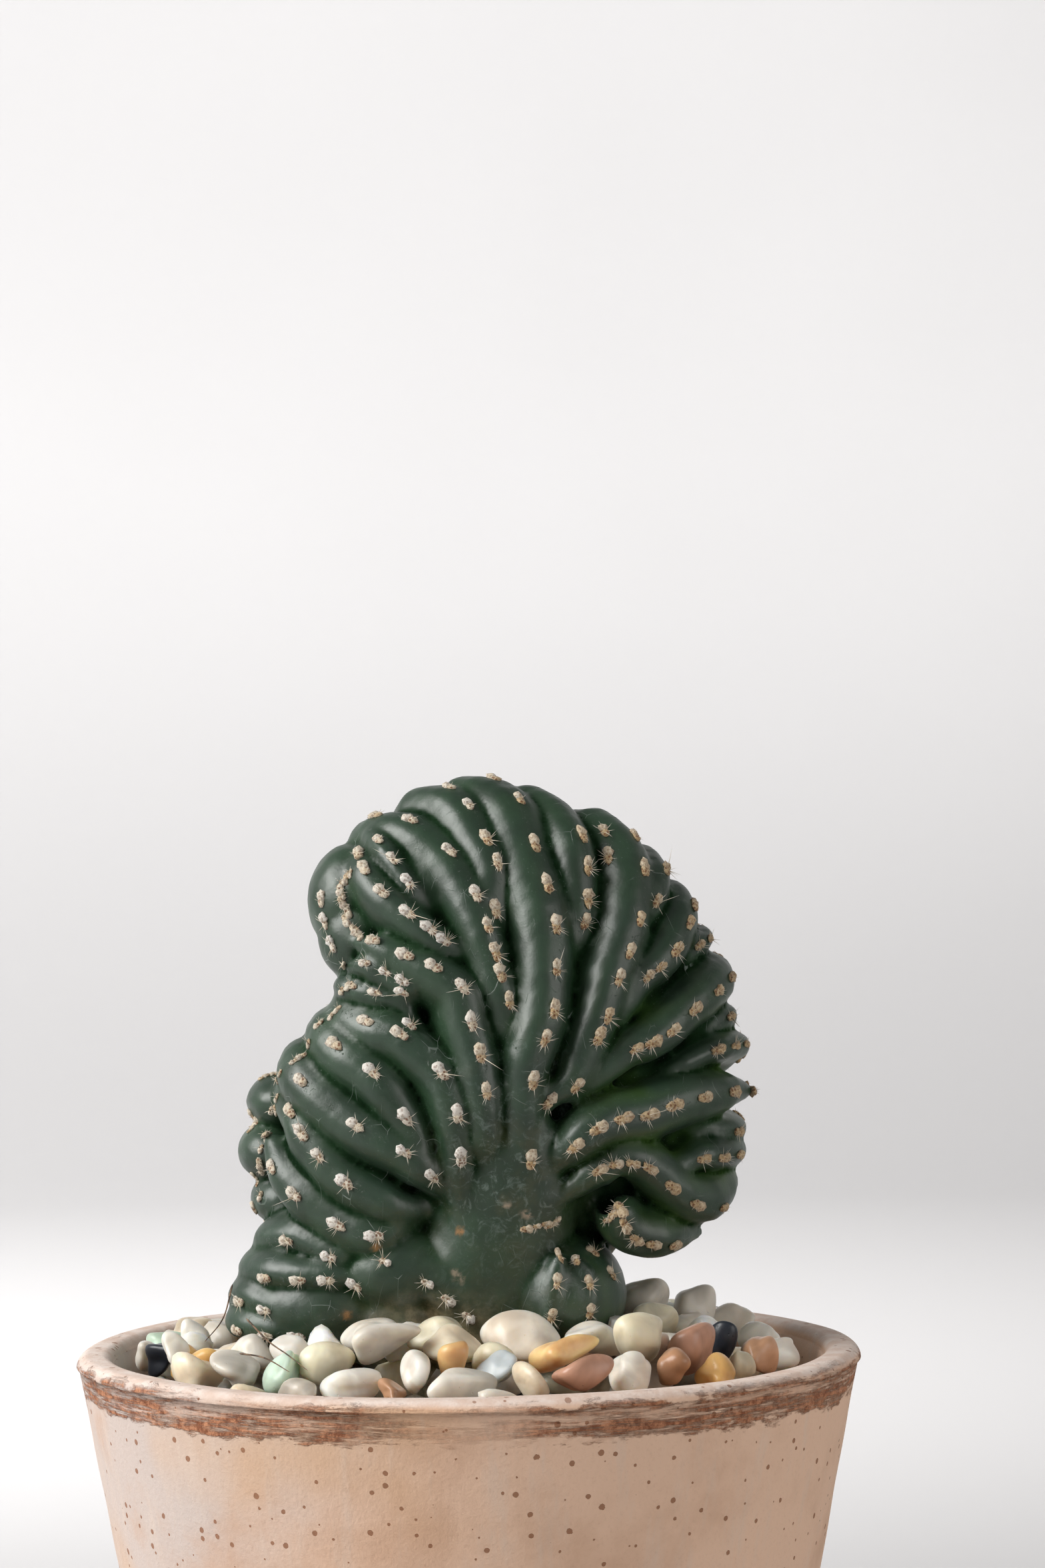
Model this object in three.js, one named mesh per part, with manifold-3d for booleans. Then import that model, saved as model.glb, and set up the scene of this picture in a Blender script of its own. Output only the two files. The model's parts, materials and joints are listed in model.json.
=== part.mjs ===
// Potted crested cactus: a rooted crest in a tapered clay pot, under a top dressing of pebbles.
// Millimetres, +Z up, origin at the centre of the pot's underside. The plant's face looks along -Y.
import * as THREE from "three";
import { mergeVertices } from "three/addons/utils/BufferGeometryUtils.js";
import Module from "manifold-3d";

const wasm = await Module();
wasm.setup();

// Driving dimensions of the pot
const POT_HEIGHT = 120;
const RIM_RADIUS = 70;
const BASE_RADIUS = 47.5;
const WALL = 6.5;
const FLOOR = 8;
const LIP_ROUND = 2.2;
const BASE_BEVEL = 1.5;
const DRAIN_RADIUS = 7;
const POT_SIDES = 48;

// Soil, pebble layer and stem
const FIT_GAP = 0.3;
const SOIL_BELOW_RIM = 17;
const BED_BELOW_RIM = 6;
const BED_MOUND = 9;
const SHOULDER_SHARE = 0.7;
const STEM_RADIUS = 17;
const STEM_ROUND = 4;
const ROOT_LENGTH = 36;

// The plant grows or shrinks as a whole about its foot; its points below are for a scale of 1
const PLANT_SCALE = 1;
const RIB_HALF_WIDTH = 4.5;
const RIB_DEPTH = 7;
const RIB_SIDES = 6;
const RIB_RINGS = 6;
const CORE_SIDES = 10;
const CORE_RINGS = 7;
const BACK_RIBS = 16;
const BACK_BULGE = 26;
const BULGE_SHARE = 0.43;

// Loose pebbles
const PEBBLE_SCALE = 1;
const LOOSE_PEBBLES = 10;
const LOOSE_LENGTH = 3.8;
const LENGTH_SPREAD = 2.2;
const LOOSE_WIDTH_SHARE = 0.72;
const WIDTH_SPREAD = 0.2;
const LOOSE_HEIGHT_SHARE = 0.6;
const HEIGHT_SPREAD = 0.15;
const LOOSE_FROM_STEM = 8;
const LOOSE_FROM_WALL = 6;
const TILT_SPREAD = 0.5;
const UNEVENNESS = 0.09;
const UNEVEN_WAVES = [2.1, 2.7, 1.9];
const NEIGHBOUR_REACH = 16;
const DROP_HEIGHT = 11;
const DROP_STEP = 0.5;
const SEARCH_STEP = 1.3;
const SEARCH_TRIES = 400;
const SPOTS_TRIED = 5;
const GOLDEN_ANGLE = Math.PI * (3 - Math.sqrt(5));
const SEED = 11;

const soilTop = POT_HEIGHT - SOIL_BELOW_RIM;
const rootBottom = POT_HEIGHT - ROOT_LENGTH;
const foot = new THREE.Vector3(0, 0, POT_HEIGHT);

// Middle and half sizes of the dome that the front ribs lie on, from the foot
const DOME_MIDDLE = new THREE.Vector3(5, 0, 44);
const DOME_HALF = new THREE.Vector3(47, 28, 60);

// Ridge lines of the front ribs, base to tip: [right, back, up] from the foot of the plant
const FRONT_RIBS = [
  // left side, from the bottom up
  [[-7, -25, 22], [-16, -23, 22], [-23, -21, 24], [-30, -17, 29], [-35, -12, 34], [-36, -5, 40]],
  [[-4, -25, 27], [-12, -25, 27], [-21, -22, 31], [-27, -20, 37], [-32, -15, 43], [-34, -6, 47]],
  [[-1, -26, 24], [-5, -27, 32], [-12, -26, 37], [-20, -24, 42], [-28, -19, 48], [-33, -10, 52]],
  [[-2, -26, 30], [-6, -27, 34], [-11, -26, 43], [-16, -25, 51], [-22, -21, 56], [-27, -12, 59]],
  [[0, -26, 22], [0, -27, 35], [-2, -28, 44], [-5, -27, 51], [-12, -25, 57], 
   [-18, -22, 60], [-24, -14, 62]],
  [[-2, -24, 52], [-4, -26, 56], [-9, -25, 61], [-12, -24, 64], [-16, -22, 64], [-22, -16, 65]],
  [[-3, -24, 60], [-7, -25, 63], [-11, -24, 66], [-14, -23, 68], [-18, -21, 69], [-22, -16, 68]],
  [[5, -24, 28], [4, -27, 40], [3, -28, 50], [1, -27, 60], [-2, -26, 66], 
   [-9, -25, 70], [-16, -22, 73], [-20, -17, 73]],
  // the knob and the folds over it
  [[5, -23, 66], [2, -25, 71], [-4, -26, 75], [-10, -24, 78], [-15, -21, 82], 
   [-18, -16, 87], [-18, -8, 90]],
  [[-17, -12, 70], [-22, -13, 72], [-25, -13, 77], [-25, -11, 82], [-21, -7, 87]],
  [[-2, -21, 74], [-5, -21, 78], [-9, -19, 84], [-12, -16, 88], [-15, -12, 91], [-17, -6, 92]],
  // over the top
  [[9, -25, 48], [9, -27, 58], [6, -26, 68], [4, -24, 76], [2, -22, 82], 
   [-3, -18, 89], [-9, -13, 94], [-15, -7, 95]],
  [[9, -23, 62], [7, -23, 71], [6, -22, 79], [6, -19, 87], [1, -13, 97], [-3, -8, 99], [-8, -2, 99]],
  [[9, -25, 24], [12, -28, 40], [14, -27, 56], [16, -25, 69], [15, -21, 82], 
   [12, -17, 90], [9, -11, 98], [4, -5, 101]],
  [[21, -23, 68], [22, -21, 76], [22, -17, 86], [21, -13, 92], [18, -7, 97], [13, -1, 99]],
  // right side, from the top down
  [[11, -26, 36], [20, -27, 48], [24, -25, 57], [27, -22, 67], [31, -18, 76], 
   [32, -13, 85], [30, -7, 91]],
  [[28, -21, 66], [31, -19, 72], [34, -14, 79], [36, -8, 84], [34, -1, 87]],
  [[24, -24, 52], [27, -24, 58], [32, -20, 66], [37, -15, 71], [40, -10, 76], [41, -3, 79]],
  [[34, -17, 62], [38, -13, 66], [42, -9, 71], [44, -3, 73]],
  [[18, -26, 44], [23, -26, 48], [30, -23, 54], [36, -20, 58], [41, -15, 61], 
   [45, -10, 64], [48, -3, 66]],
  [[36, -17, 53], [40, -14, 55], [45, -9, 58], [48, -3, 58]],
  [[34, -20, 48], [40, -18, 51], [45, -13, 53], [50, -5, 53]],
  [[13, -26, 31], [19, -27, 37], [28, -25, 42], [36, -21, 44], [42, -17, 45], 
   [47, -11, 45], [51, -3, 44]],
  [[36, -18, 39], [40, -16, 39], [45, -12, 38], [49, -5, 38]],
  [[30, -21, 33], [37, -19, 33], [42, -16, 34], [45, -12, 34], [49, -5, 33]],
  [[14, -25, 26], [19, -26, 30], [26, -25, 34], [32, -23, 33], [36, -20, 29], 
   [40, -16, 26], [45, -10, 25], [48, -3, 27]],
  [[24, -22, 28], [27, -23, 25], [29, -21, 21], [33, -19, 19], [37, -16, 18], [41, -8, 20]],
  // foot of the trunk, right
  [[3, -21, 3], [6, -24, 10], [7, -25, 17], [11, -25, 19]],
  [[14, -24, 2], [16, -24, 10], [16, -24, 17]],
  [[20, -21, 4], [21, -22, 11], [20, -22, 18]],
  [[23, -14, 4], [24, -15, 11], [24, -17, 16]],
  // side lobe at the left of the trunk
  [[-12, -20, 15], [-20, -20, 17], [-27, -18, 19], [-34, -13, 20], [-38, -6, 18]],
  [[-13, -21, 10], [-20, -21, 13], [-27, -20, 14], [-34, -17, 14], [-40, -8, 13]],
  [[-16, -20, 6], [-24, -20, 8], [-31, -19, 9], [-37, -16, 9], [-42, -8, 8]],
  [[-18, -19, 2], [-26, -19, 3], [-33, -18, 4], [-39, -15, 4], [-43, -8, 4]],
];

// Short folds of the back that stand out past the left edge
const EDGE_FOLDS = [
  [[-28, 8, 42], [-34, 8, 43], [-39, 5, 43]],
  [[-30, 10, 33], [-37, 8, 33], [-40, 4, 34]],
  [[-28, 10, 25], [-35, 8, 26], [-38, 4, 26]],
];

// Outline of the crest from left to right: [right, up] from the foot
const CREST_OUTLINE = [
  [-33, 22], [-36, 34], [-34, 47], [-26, 58], [-23, 66], [-26, 78], [-20, 89], [-10, 97], [4, 101],
  [18, 96], [33, 86], [42, 75], [47, 63], [50, 52], [50, 42], [47, 28], [38, 20],
];
// Where the back ribs run together, from the foot
const BACK_FOCUS = new THREE.Vector3(4, 16, 14);

// Rounded bodies that fill the plant behind its ribs: [middle, half sizes]
const CORES = [
  [[10, 0, 50], [27, 20, 42]],
  [[-12, 0, 38], [20, 20, 20]],
  [[27, 0, 42], [18, 17, 22]],
  [[20, 0, 72], [15, 16, 19]],
  [[-5, -2, 80], [14, 18, 15]],
  [[30, -2, 58], [11, 16, 11]],
  [[-12, -2, 64], [9, 16, 12]],
  [[-9, 1, 58], [12, 19, 14]],
  [[-17, -6, 80], [7, 8, 9]],
  [[3, 0, 25], [19, 21, 18]],
  [[3, -1, 9], [20, 20, 16]],
  [[-26, -7, 9], [15, 11, 8]],
  [[15, -9, 9], [9, 14, 11]],
];

const POT_LOOK = { color: "#d9bda6", roughness: 0.9, metalness: 0 };
const SOIL_LOOK = { color: "#4a3a2c", roughness: 1, metalness: 0 };
const BED_LOOK = { color: "#cfc8b8", roughness: 0.6, metalness: 0 };
const PLANT_LOOK = { color: "#2e4a3c", roughness: 0.55, metalness: 0 };
const STONE_LOOK = { roughness: 0.25, metalness: 0 };
const STONE_COLOURS = {
  white: "#e9e6df",
  cream: "#e2d8c0",
  grey: "#c9c8c0",
  straw: "#cfc79a",
  mint: "#b9d3c0",
  sky: "#cddbe2",
  orange: "#e2a05a",
  honey: "#d6a95c",
  pink: "#b98d76",
  tan: "#bd9069",
  black: "#2b3138",
};
const LOOSE_COLOURS = ["white", "cream", "grey", "white", "straw", "cream", "tan", "grey"];

// Hollows of the pebble layer round the foot of the plant, from the foot: [middle, half sizes]
const BED_HOLLOWS = [
  [[4, -3, 9], [25, 24, 17]],
  [[-27, -12, 9], [23, 16, 11]],
];

// Inside radius of the rim that the places of the laid pebbles go with
const PLACES_RADIUS = 63.5;

// Pebbles laid by hand, the lowest first: [colour, [right, back], half sizes, turn in degrees]
const PLACED_PEBBLES = [
  ["grey", [-40, -35], [5, 4.4, 3.4], 5],
  ["mint", [-32, -43], [3.2, 3.8, 3.8], 0],
  ["straw", [-24, -42], [4.8, 4.2, 3.6], 15],
  ["white", [-20, -49], [4.4, 3.6, 2.8], 170],
  ["tan", [-13, -54], [2.6, 2.6, 2.4], 0],
  ["white", [-9, -48], [2.9, 3.6, 3.4], 10],
  ["orange", [-3, -45], [3.2, 3.6, 3.4], 20],
  ["grey", [-1, -53], [4.8, 4, 3], 0],
  ["sky", [5, -47], [3.6, 3.6, 3.2], 30],
  ["cream", [10, -53], [4, 3.6, 3.2], 160],
  ["pink", [19, -52], [4.4, 3.6, 3], 10],
  ["grey", [27, -45], [4.4, 4, 3.4], 40],
  ["tan", [34, -40], [2.8, 3.4, 3.2], 20],
  ["honey", [42, -37], [2.9, 3.2, 3], 50],
  ["straw", [47, -28], [2.4, 2.8, 2.6], 0],
  ["tan", [50, -21], [3.2, 3.6, 3.4], 60],
  ["white", [55, -11], [2.8, 3.2, 2.8], 90],
  ["honey", [-49, -18], [3.2, 3.4, 3], 40],
  ["honey", [-46, -25], [2.6, 2.8, 2.8], 60],
  ["white", [-51, -25], [2.6, 2.6, 2.4], 0],
  ["black", [-54, -12], [4, 3.2, 3], 110],
  ["white", [-57, -3], [3.2, 3, 2.8], 90],
  ["mint", [-55, 6], [3.2, 3, 2.8], 80],
  ["cream", [-50, 13], [3.6, 3.4, 3.2], 60],
  ["white", [-49, 0], [3.4, 3.6, 3.4], 20],
  ["white", [-14, -39], [5, 4.4, 3.6], 10],
  ["cream", [-3, -37], [5.2, 4.2, 3.4], 0],
  ["orange", [16, -41], [5.9, 4.2, 3.6], 8],
  ["straw", [29, -35], [4.5, 4.6, 4.4], 40],
  ["pink", [38, -29], [4.4, 4.6, 4.4], 100],
  ["black", [44, -21], [2.4, 3, 3.8], 40],
  ["grey", [-17, -30], [5.4, 4.2, 3.4], 5],
  ["cream", [-25, -35], [2.6, 2.8, 2.4], 0],
  ["white", [-31, -32], [3, 3.4, 3.2], 70],
  ["white", [-38, -26], [5.2, 3.8, 3], 150],
  ["straw", [-5, -29], [4.8, 3.6, 3], 0],
  ["white", [8, -32], [5.8, 4.2, 3.8], 165],
  ["white", [21, -29], [5.4, 4, 3], 10],
  ["white", [42, -8], [3, 3.4, 2.8], 20],
  ["grey", [52, 0], [3.4, 3.6, 3], 90],
  ["grey", [48, 14], [4.8, 4, 3.4], 60],
  ["grey", [41, 9], [4.8, 4.6, 4.2], 120],
  ["grey", [31, 4], [5, 4.8, 4.4], 20],
  ["straw", [33, -6], [4, 3.6, 3.2], 20],
];

const asVectors = (points) => points.map(([x, y]) => new THREE.Vector2(x, y));
const fromFoot = ([x, y, z]) => new THREE.Vector3(x, y, z).multiplyScalar(PLANT_SCALE).add(foot);

function randomSource(seed) {
  let state = seed;
  return () => {
    state = (state * 1664525 + 1013904223) % 4294967296;
    return state / 4294967296;
  };
}

function closed(geometry) {
  const bare = geometry.clone();
  bare.deleteAttribute("normal");
  bare.deleteAttribute("uv");
  return mergeVertices(bare);
}

function solidOf(geometry) {
  const shape = closed(geometry);
  const triVerts = Uint32Array.from(shape.index.array);
  const vertProperties = Float32Array.from(shape.attributes.position.array);
  return new wasm.Manifold(new wasm.Mesh({ numProp: 3, vertProperties, triVerts }));
}

function geometryOf(solid) {
  const mesh = solid.getMesh();
  const geometry = new THREE.BufferGeometry();
  geometry.setAttribute("position", new THREE.BufferAttribute(Float32Array.from(mesh.vertProperties), 3));
  geometry.setIndex(new THREE.BufferAttribute(Uint32Array.from(mesh.triVerts), 1));
  geometry.computeVertexNormals();
  return geometry;
}

const touches = (a, b) => a.intersect(b).getMesh().triVerts.length > 0;

function turned(profile) {
  const geometry = new THREE.LatheGeometry(asVectors(profile), POT_SIDES);
  return geometry.rotateX(Math.PI / 2);
}

function outerRadius(height) {
  return BASE_RADIUS + ((RIM_RADIUS - BASE_RADIUS) * height) / POT_HEIGHT;
}

function innerRadius(height) {
  return outerRadius(height) - WALL;
}

// Points of a quarter round, from one angle to the other in degrees
function quarterRound(centre, radius, from, to) {
  const points = [];
  const pieces = 3;
  for (let i = 0; i <= pieces; i += 1) {
    const angle = THREE.MathUtils.degToRad(from + ((to - from) * i) / pieces);
    points.push([centre[0] + radius * Math.cos(angle), centre[1] + radius * Math.sin(angle)]);
  }
  return points;
}

function potGeometry() {
  const lipHeight = POT_HEIGHT - LIP_ROUND;
  const profile = [
    [DRAIN_RADIUS, 0],
    [BASE_RADIUS - BASE_BEVEL, 0],
    [outerRadius(BASE_BEVEL), BASE_BEVEL],
    ...quarterRound([RIM_RADIUS - LIP_ROUND, lipHeight], LIP_ROUND, 0, 90),
    ...quarterRound([RIM_RADIUS - WALL + LIP_ROUND, lipHeight], LIP_ROUND, 90, 180),
    [innerRadius(FLOOR), FLOOR],
    [DRAIN_RADIUS, FLOOR],
    [DRAIN_RADIUS, 0],
  ];
  return turned(profile);
}

function soilGeometry() {
  const bottom = FLOOR + FIT_GAP;
  const profile = [
    [0, bottom],
    [innerRadius(bottom) - FIT_GAP, bottom],
    [innerRadius(soilTop) - FIT_GAP, soilTop],
    [STEM_RADIUS + FIT_GAP, soilTop],
    [STEM_RADIUS + FIT_GAP, rootBottom - FIT_GAP],
    [0, rootBottom - FIT_GAP],
  ];
  return turned(profile);
}

// The layer under the loose stones, higher beside the stem than at the wall
function bedGeometry() {
  const bottom = soilTop + FIT_GAP;
  const edgeTop = POT_HEIGHT - BED_BELOW_RIM;
  const shoulderRadius = (innerRadius(edgeTop) + STEM_RADIUS) / 2;
  const profile = [
    [STEM_RADIUS + FIT_GAP, bottom],
    [innerRadius(bottom) - FIT_GAP, bottom],
    [innerRadius(edgeTop) - FIT_GAP, edgeTop],
    [shoulderRadius, edgeTop + BED_MOUND * SHOULDER_SHARE],
    [STEM_RADIUS + FIT_GAP, edgeTop + BED_MOUND],
    [STEM_RADIUS + FIT_GAP, bottom],
  ];
  const layer = solidOf(turned(profile));
  const hollows = BED_HOLLOWS.map((hollow) => solidOf(coreGeometry(hollow)));
  return geometryOf(hollows.reduce((rest, hollow) => rest.subtract(hollow), layer));
}

function stemGeometry() {
  const top = POT_HEIGHT + STEM_ROUND;
  const profile = [
    [0, rootBottom],
    [STEM_RADIUS - STEM_ROUND, rootBottom],
    [STEM_RADIUS, rootBottom + STEM_ROUND],
    [STEM_RADIUS, POT_HEIGHT - STEM_ROUND],
    [STEM_RADIUS - STEM_ROUND, top],
    [0, top],
  ];
  return turned(profile);
}

// Direction that points out of the dome at a place on the plant
function outward(place) {
  const local = place.clone().sub(foot).divideScalar(PLANT_SCALE).sub(DOME_MIDDLE);
  return local.divide(DOME_HALF).divide(DOME_HALF).normalize();
}

// A rib: a round body drawn out under its ridge line, deeper than it is wide, which closes on
// the ridge line at both ends
function ribGeometry(ridge) {
  const curve = new THREE.CatmullRomCurve3(ridge);
  const geometry = new THREE.SphereGeometry(1, RIB_SIDES, RIB_RINGS);
  const position = geometry.attributes.position;
  const unit = new THREE.Vector3();
  for (let i = 0; i < position.count; i += 1) {
    unit.fromBufferAttribute(position, i);
    const along = Math.acos(THREE.MathUtils.clamp(-unit.y, -1, 1)) / Math.PI;
    const round = Math.hypot(unit.x, unit.z);
    const fullness = Math.sqrt(round);
    const girth = round > 0 ? fullness / round : 0;
    const place = curve.getPoint(along);
    const tangent = curve.getTangent(along);
    const up = outward(place);
    up.addScaledVector(tangent, -up.dot(tangent)).normalize();
    const side = tangent.clone().cross(up);
    const depth = RIB_DEPTH * PLANT_SCALE;
    place.addScaledVector(up, depth * (unit.z * girth - fullness));
    place.addScaledVector(side, RIB_HALF_WIDTH * PLANT_SCALE * unit.x * girth);
    position.setXYZ(i, place.x, place.y, place.z);
  }
  return geometry;
}

function coreGeometry([middle, half]) {
  const geometry = new THREE.SphereGeometry(1, CORE_SIDES, CORE_RINGS);
  const sizes = half.map((size) => size * PLANT_SCALE);
  const place = fromFoot(middle);
  return geometry.scale(...sizes).translate(place.x, place.y, place.z);
}

// Ridge lines of the back, from the crest's outline over the bulge of the back to the focus
function backRidges() {
  const outline = new THREE.CatmullRomCurve3(CREST_OUTLINE.map(([x, z]) => new THREE.Vector3(x, 0, z)));
  const shares = [0, 0.12, 0.3, 0.55, 0.92];
  const ridges = [];
  for (let i = 0; i < BACK_RIBS; i += 1) {
    const edge = outline.getPointAt((i + 0.5) / BACK_RIBS);
    const ridge = shares.map((share) => {
      const place = edge.clone().lerp(BACK_FOCUS, share);
      const across = (place.x - DOME_MIDDLE.x) / DOME_HALF.x;
      const above = (place.z - DOME_MIDDLE.z) / DOME_HALF.z;
      const inside = Math.max(0, 1 - across * across - above * above);
      const rise = Math.sin((Math.PI / 2) * Math.min(1, share / BULGE_SHARE));
      return [place.x, BACK_BULGE * rise * Math.sqrt(inside), place.z];
    });
    ridges.push(ridge);
  }
  return ridges;
}

function plantSolid() {
  const ridges = [...FRONT_RIBS, ...EDGE_FOLDS, ...backRidges()];
  const ribs = ridges.map((ridge) => solidOf(ribGeometry(ridge.map(fromFoot))));
  const cores = CORES.map((core) => solidOf(coreGeometry(core)));
  return [...cores, ...ribs].reduce((plant, piece) => plant.add(piece), solidOf(stemGeometry()));
}

// A pebble: a low sphere of flat faces, drawn out and made uneven
function pebbleGeometry(half, turn, tilt, phase, grow) {
  const geometry = new THREE.IcosahedronGeometry(1, 1);
  const position = geometry.attributes.position;
  const [waveX, waveY, waveZ] = UNEVEN_WAVES;
  for (let i = 0; i < position.count; i += 1) {
    const x = position.getX(i);
    const y = position.getY(i);
    const z = position.getZ(i);
    const wave = Math.sin(waveX * x + phase) + Math.sin(waveY * y - phase) + Math.sin(waveZ * z + 2 * phase);
    const swell = 1 + UNEVENNESS * wave;
    position.setXYZ(i, x * swell, y * swell, z * swell);
  }
  const sizes = half.map((size) => size * PEBBLE_SCALE + grow);
  return geometry.scale(...sizes).rotateX(tilt).rotateZ(turn);
}

// Lowers a stone from above until it meets something; gives its height, or null where it can't start
function restingHeight(grown, x, y, obstacles) {
  let rest = null;
  const lowest = soilTop;
  for (let z = POT_HEIGHT + DROP_HEIGHT * PEBBLE_SCALE; z > lowest; z -= DROP_STEP) {
    const stone = solidOf(grown.clone().translate(x, y, z));
    const blocked = obstacles.some((obstacle) => touches(stone, obstacle));
    if (blocked) {
      return rest;
    }
    rest = z;
  }
  return rest;
}

function pebbleMeshes(obstacles) {
  const random = randomSource(SEED);
  const laid = [];

  const nearby = (x, y) => {
    const reach = NEIGHBOUR_REACH * PEBBLE_SCALE;
    const close = laid.filter((stone) => Math.hypot(stone.x - x, stone.y - y) < reach);
    return [...obstacles, ...close.map((stone) => stone.solid)];
  };

  // Looks round a spot in a widening spiral for the first place where the stone can come to rest
  const findPlace = (grown, x, y) => {
    grown.computeBoundingSphere();
    const farthest = innerRadius(POT_HEIGHT - BED_BELOW_RIM) - grown.boundingSphere.radius;
    for (let i = 0; i < SEARCH_TRIES; i += 1) {
      const reach = SEARCH_STEP * Math.sqrt(i);
      const px = x + reach * Math.cos(i * GOLDEN_ANGLE);
      const py = y + reach * Math.sin(i * GOLDEN_ANGLE);
      const inside = Math.hypot(px, py) < farthest;
      const z = inside ? restingHeight(grown, px, py, nearby(px, py)) : null;
      if (z !== null) {
        return { x: px, y: py, z };
      }
    }
    throw new Error("no room for a pebble");
  };

  const lay = (colour, half, turn, spots) => {
    const tilt = (random() - 0.5) * TILT_SPREAD;
    const phase = random() * 2 * Math.PI;
    const grown = pebbleGeometry(half, turn, tilt, phase, FIT_GAP);
    const places = spots.map(([x, y]) => findPlace(grown, x, y));
    places.sort((a, b) => a.z - b.z);
    const { x, y, z } = places[0];
    const geometry = pebbleGeometry(half, turn, tilt, phase, 0);
    laid.push({ x, y, z, colour, geometry, solid: solidOf(geometry.clone().translate(x, y, z)) });
  };

  const radiusShare = innerRadius(POT_HEIGHT) / PLACES_RADIUS;
  for (const [colour, [x, y], half, degrees] of PLACED_PEBBLES) {
    lay(colour, half, THREE.MathUtils.degToRad(degrees), [[x * radiusShare, y * radiusShare]]);
  }
  for (let i = 0; i < LOOSE_PEBBLES; i += 1) {
    const length = LOOSE_LENGTH + LENGTH_SPREAD * random();
    const width = length * (LOOSE_WIDTH_SHARE + WIDTH_SPREAD * random());
    const height = length * (LOOSE_HEIGHT_SHARE + HEIGHT_SPREAD * random());
    const half = [length, width, height];
    const spots = [];
    for (let k = 0; k < SPOTS_TRIED; k += 1) {
      const angle = random() * 2 * Math.PI;
      const inner = STEM_RADIUS + LOOSE_FROM_STEM;
      const outer = innerRadius(POT_HEIGHT - BED_BELOW_RIM) - LOOSE_FROM_WALL;
      const radius = Math.sqrt(inner * inner + (outer * outer - inner * inner) * random());
      spots.push([radius * Math.cos(angle), radius * Math.sin(angle)]);
    }
    lay(LOOSE_COLOURS[i % LOOSE_COLOURS.length], half, random() * Math.PI, spots);
  }

  return laid.map(({ x, y, z, colour, geometry }, i) => {
    const name = `pebble_${String(i + 1).padStart(2, "0")}`;
    const mesh = named(name, geometry, { ...STONE_LOOK, color: STONE_COLOURS[colour] });
    mesh.position.set(x, y, z);
    return mesh;
  });
}

function named(name, geometry, look) {
  const mesh = new THREE.Mesh(geometry, new THREE.MeshStandardMaterial(look));
  mesh.name = name;
  return mesh;
}

const plant = plantSolid();
const pot = named("pot", potGeometry(), POT_LOOK);
const soil = named("potting_mix", soilGeometry(), SOIL_LOOK);
const bed = named("pebble_bed", bedGeometry(), BED_LOOK);
const cactus = named("cactus", geometryOf(plant), PLANT_LOOK);

const pottedCactus = new THREE.Group();
pottedCactus.add(pot, soil, bed, cactus);
pottedCactus.add(...pebbleMeshes([solidOf(pot.geometry), solidOf(bed.geometry), plant]));

export default pottedCactus;
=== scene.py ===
import json
import math

import bpy
import numpy as np
from mathutils import Matrix, Vector
from mathutils.bvhtree import BVHTree
from mathutils.kdtree import KDTree


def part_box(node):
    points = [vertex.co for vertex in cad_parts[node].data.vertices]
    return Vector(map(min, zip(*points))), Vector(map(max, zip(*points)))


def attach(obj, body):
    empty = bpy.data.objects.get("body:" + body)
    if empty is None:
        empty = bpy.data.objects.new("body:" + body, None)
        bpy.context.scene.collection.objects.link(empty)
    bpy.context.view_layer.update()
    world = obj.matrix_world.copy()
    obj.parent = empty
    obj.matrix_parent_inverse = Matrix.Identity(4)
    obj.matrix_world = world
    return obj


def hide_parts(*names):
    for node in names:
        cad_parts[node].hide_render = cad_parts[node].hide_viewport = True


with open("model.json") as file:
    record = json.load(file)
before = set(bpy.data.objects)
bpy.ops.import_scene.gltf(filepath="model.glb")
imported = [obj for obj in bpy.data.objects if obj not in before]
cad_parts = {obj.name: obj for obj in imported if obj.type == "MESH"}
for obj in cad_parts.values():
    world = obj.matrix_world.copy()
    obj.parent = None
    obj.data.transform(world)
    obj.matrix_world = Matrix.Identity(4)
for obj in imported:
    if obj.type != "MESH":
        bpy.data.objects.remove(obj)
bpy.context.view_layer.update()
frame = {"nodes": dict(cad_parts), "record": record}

MM = 0.001
UP = np.array([0.0, 0.0, 1.0])

# Sizes taken from the frame, in millimetres
pot_low, pot_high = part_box("pot")
POT_HEIGHT = pot_high.z / MM
RIM_RADIUS = (pot_high.x - pot_low.x) / 2 / MM
soil_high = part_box("potting_mix")[1]
SOIL_TOP = soil_high.z / MM
bed_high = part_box("pebble_bed")[1]
BED_TOP = bed_high.z / MM
BED_RADIUS = bed_high.x / MM

# The pot's own sizes, as in its solid
BASE_RADIUS = 47.5
WALL = 6.5
FLOOR = 8.0
LIP_ROUND = 2.2
DRAIN_RADIUS = 7.0
STEM_RADIUS = 17.0
ROOT_LENGTH = 36.0

# Plant: middle and half sizes of the dome under the front ribs, from the foot of the plant
DOME_MIDDLE = np.array([5.0, 0.0, 44.0])
DOME_HALF = np.array([47.0, 28.0, 60.0])
RIB_DEPTH = 7.8
BASE_SINK = 3.6
BASE_SINK_SHARE = 0.2
SKIN_VOXEL = 0.68
# Rounds of easing: after the remesh, round the trunk, and to find the hollows
FIRST_ROUNDS = 2
TRUNK_ROUNDS = 24
HOLLOW_ROUNDS = 15

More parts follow.
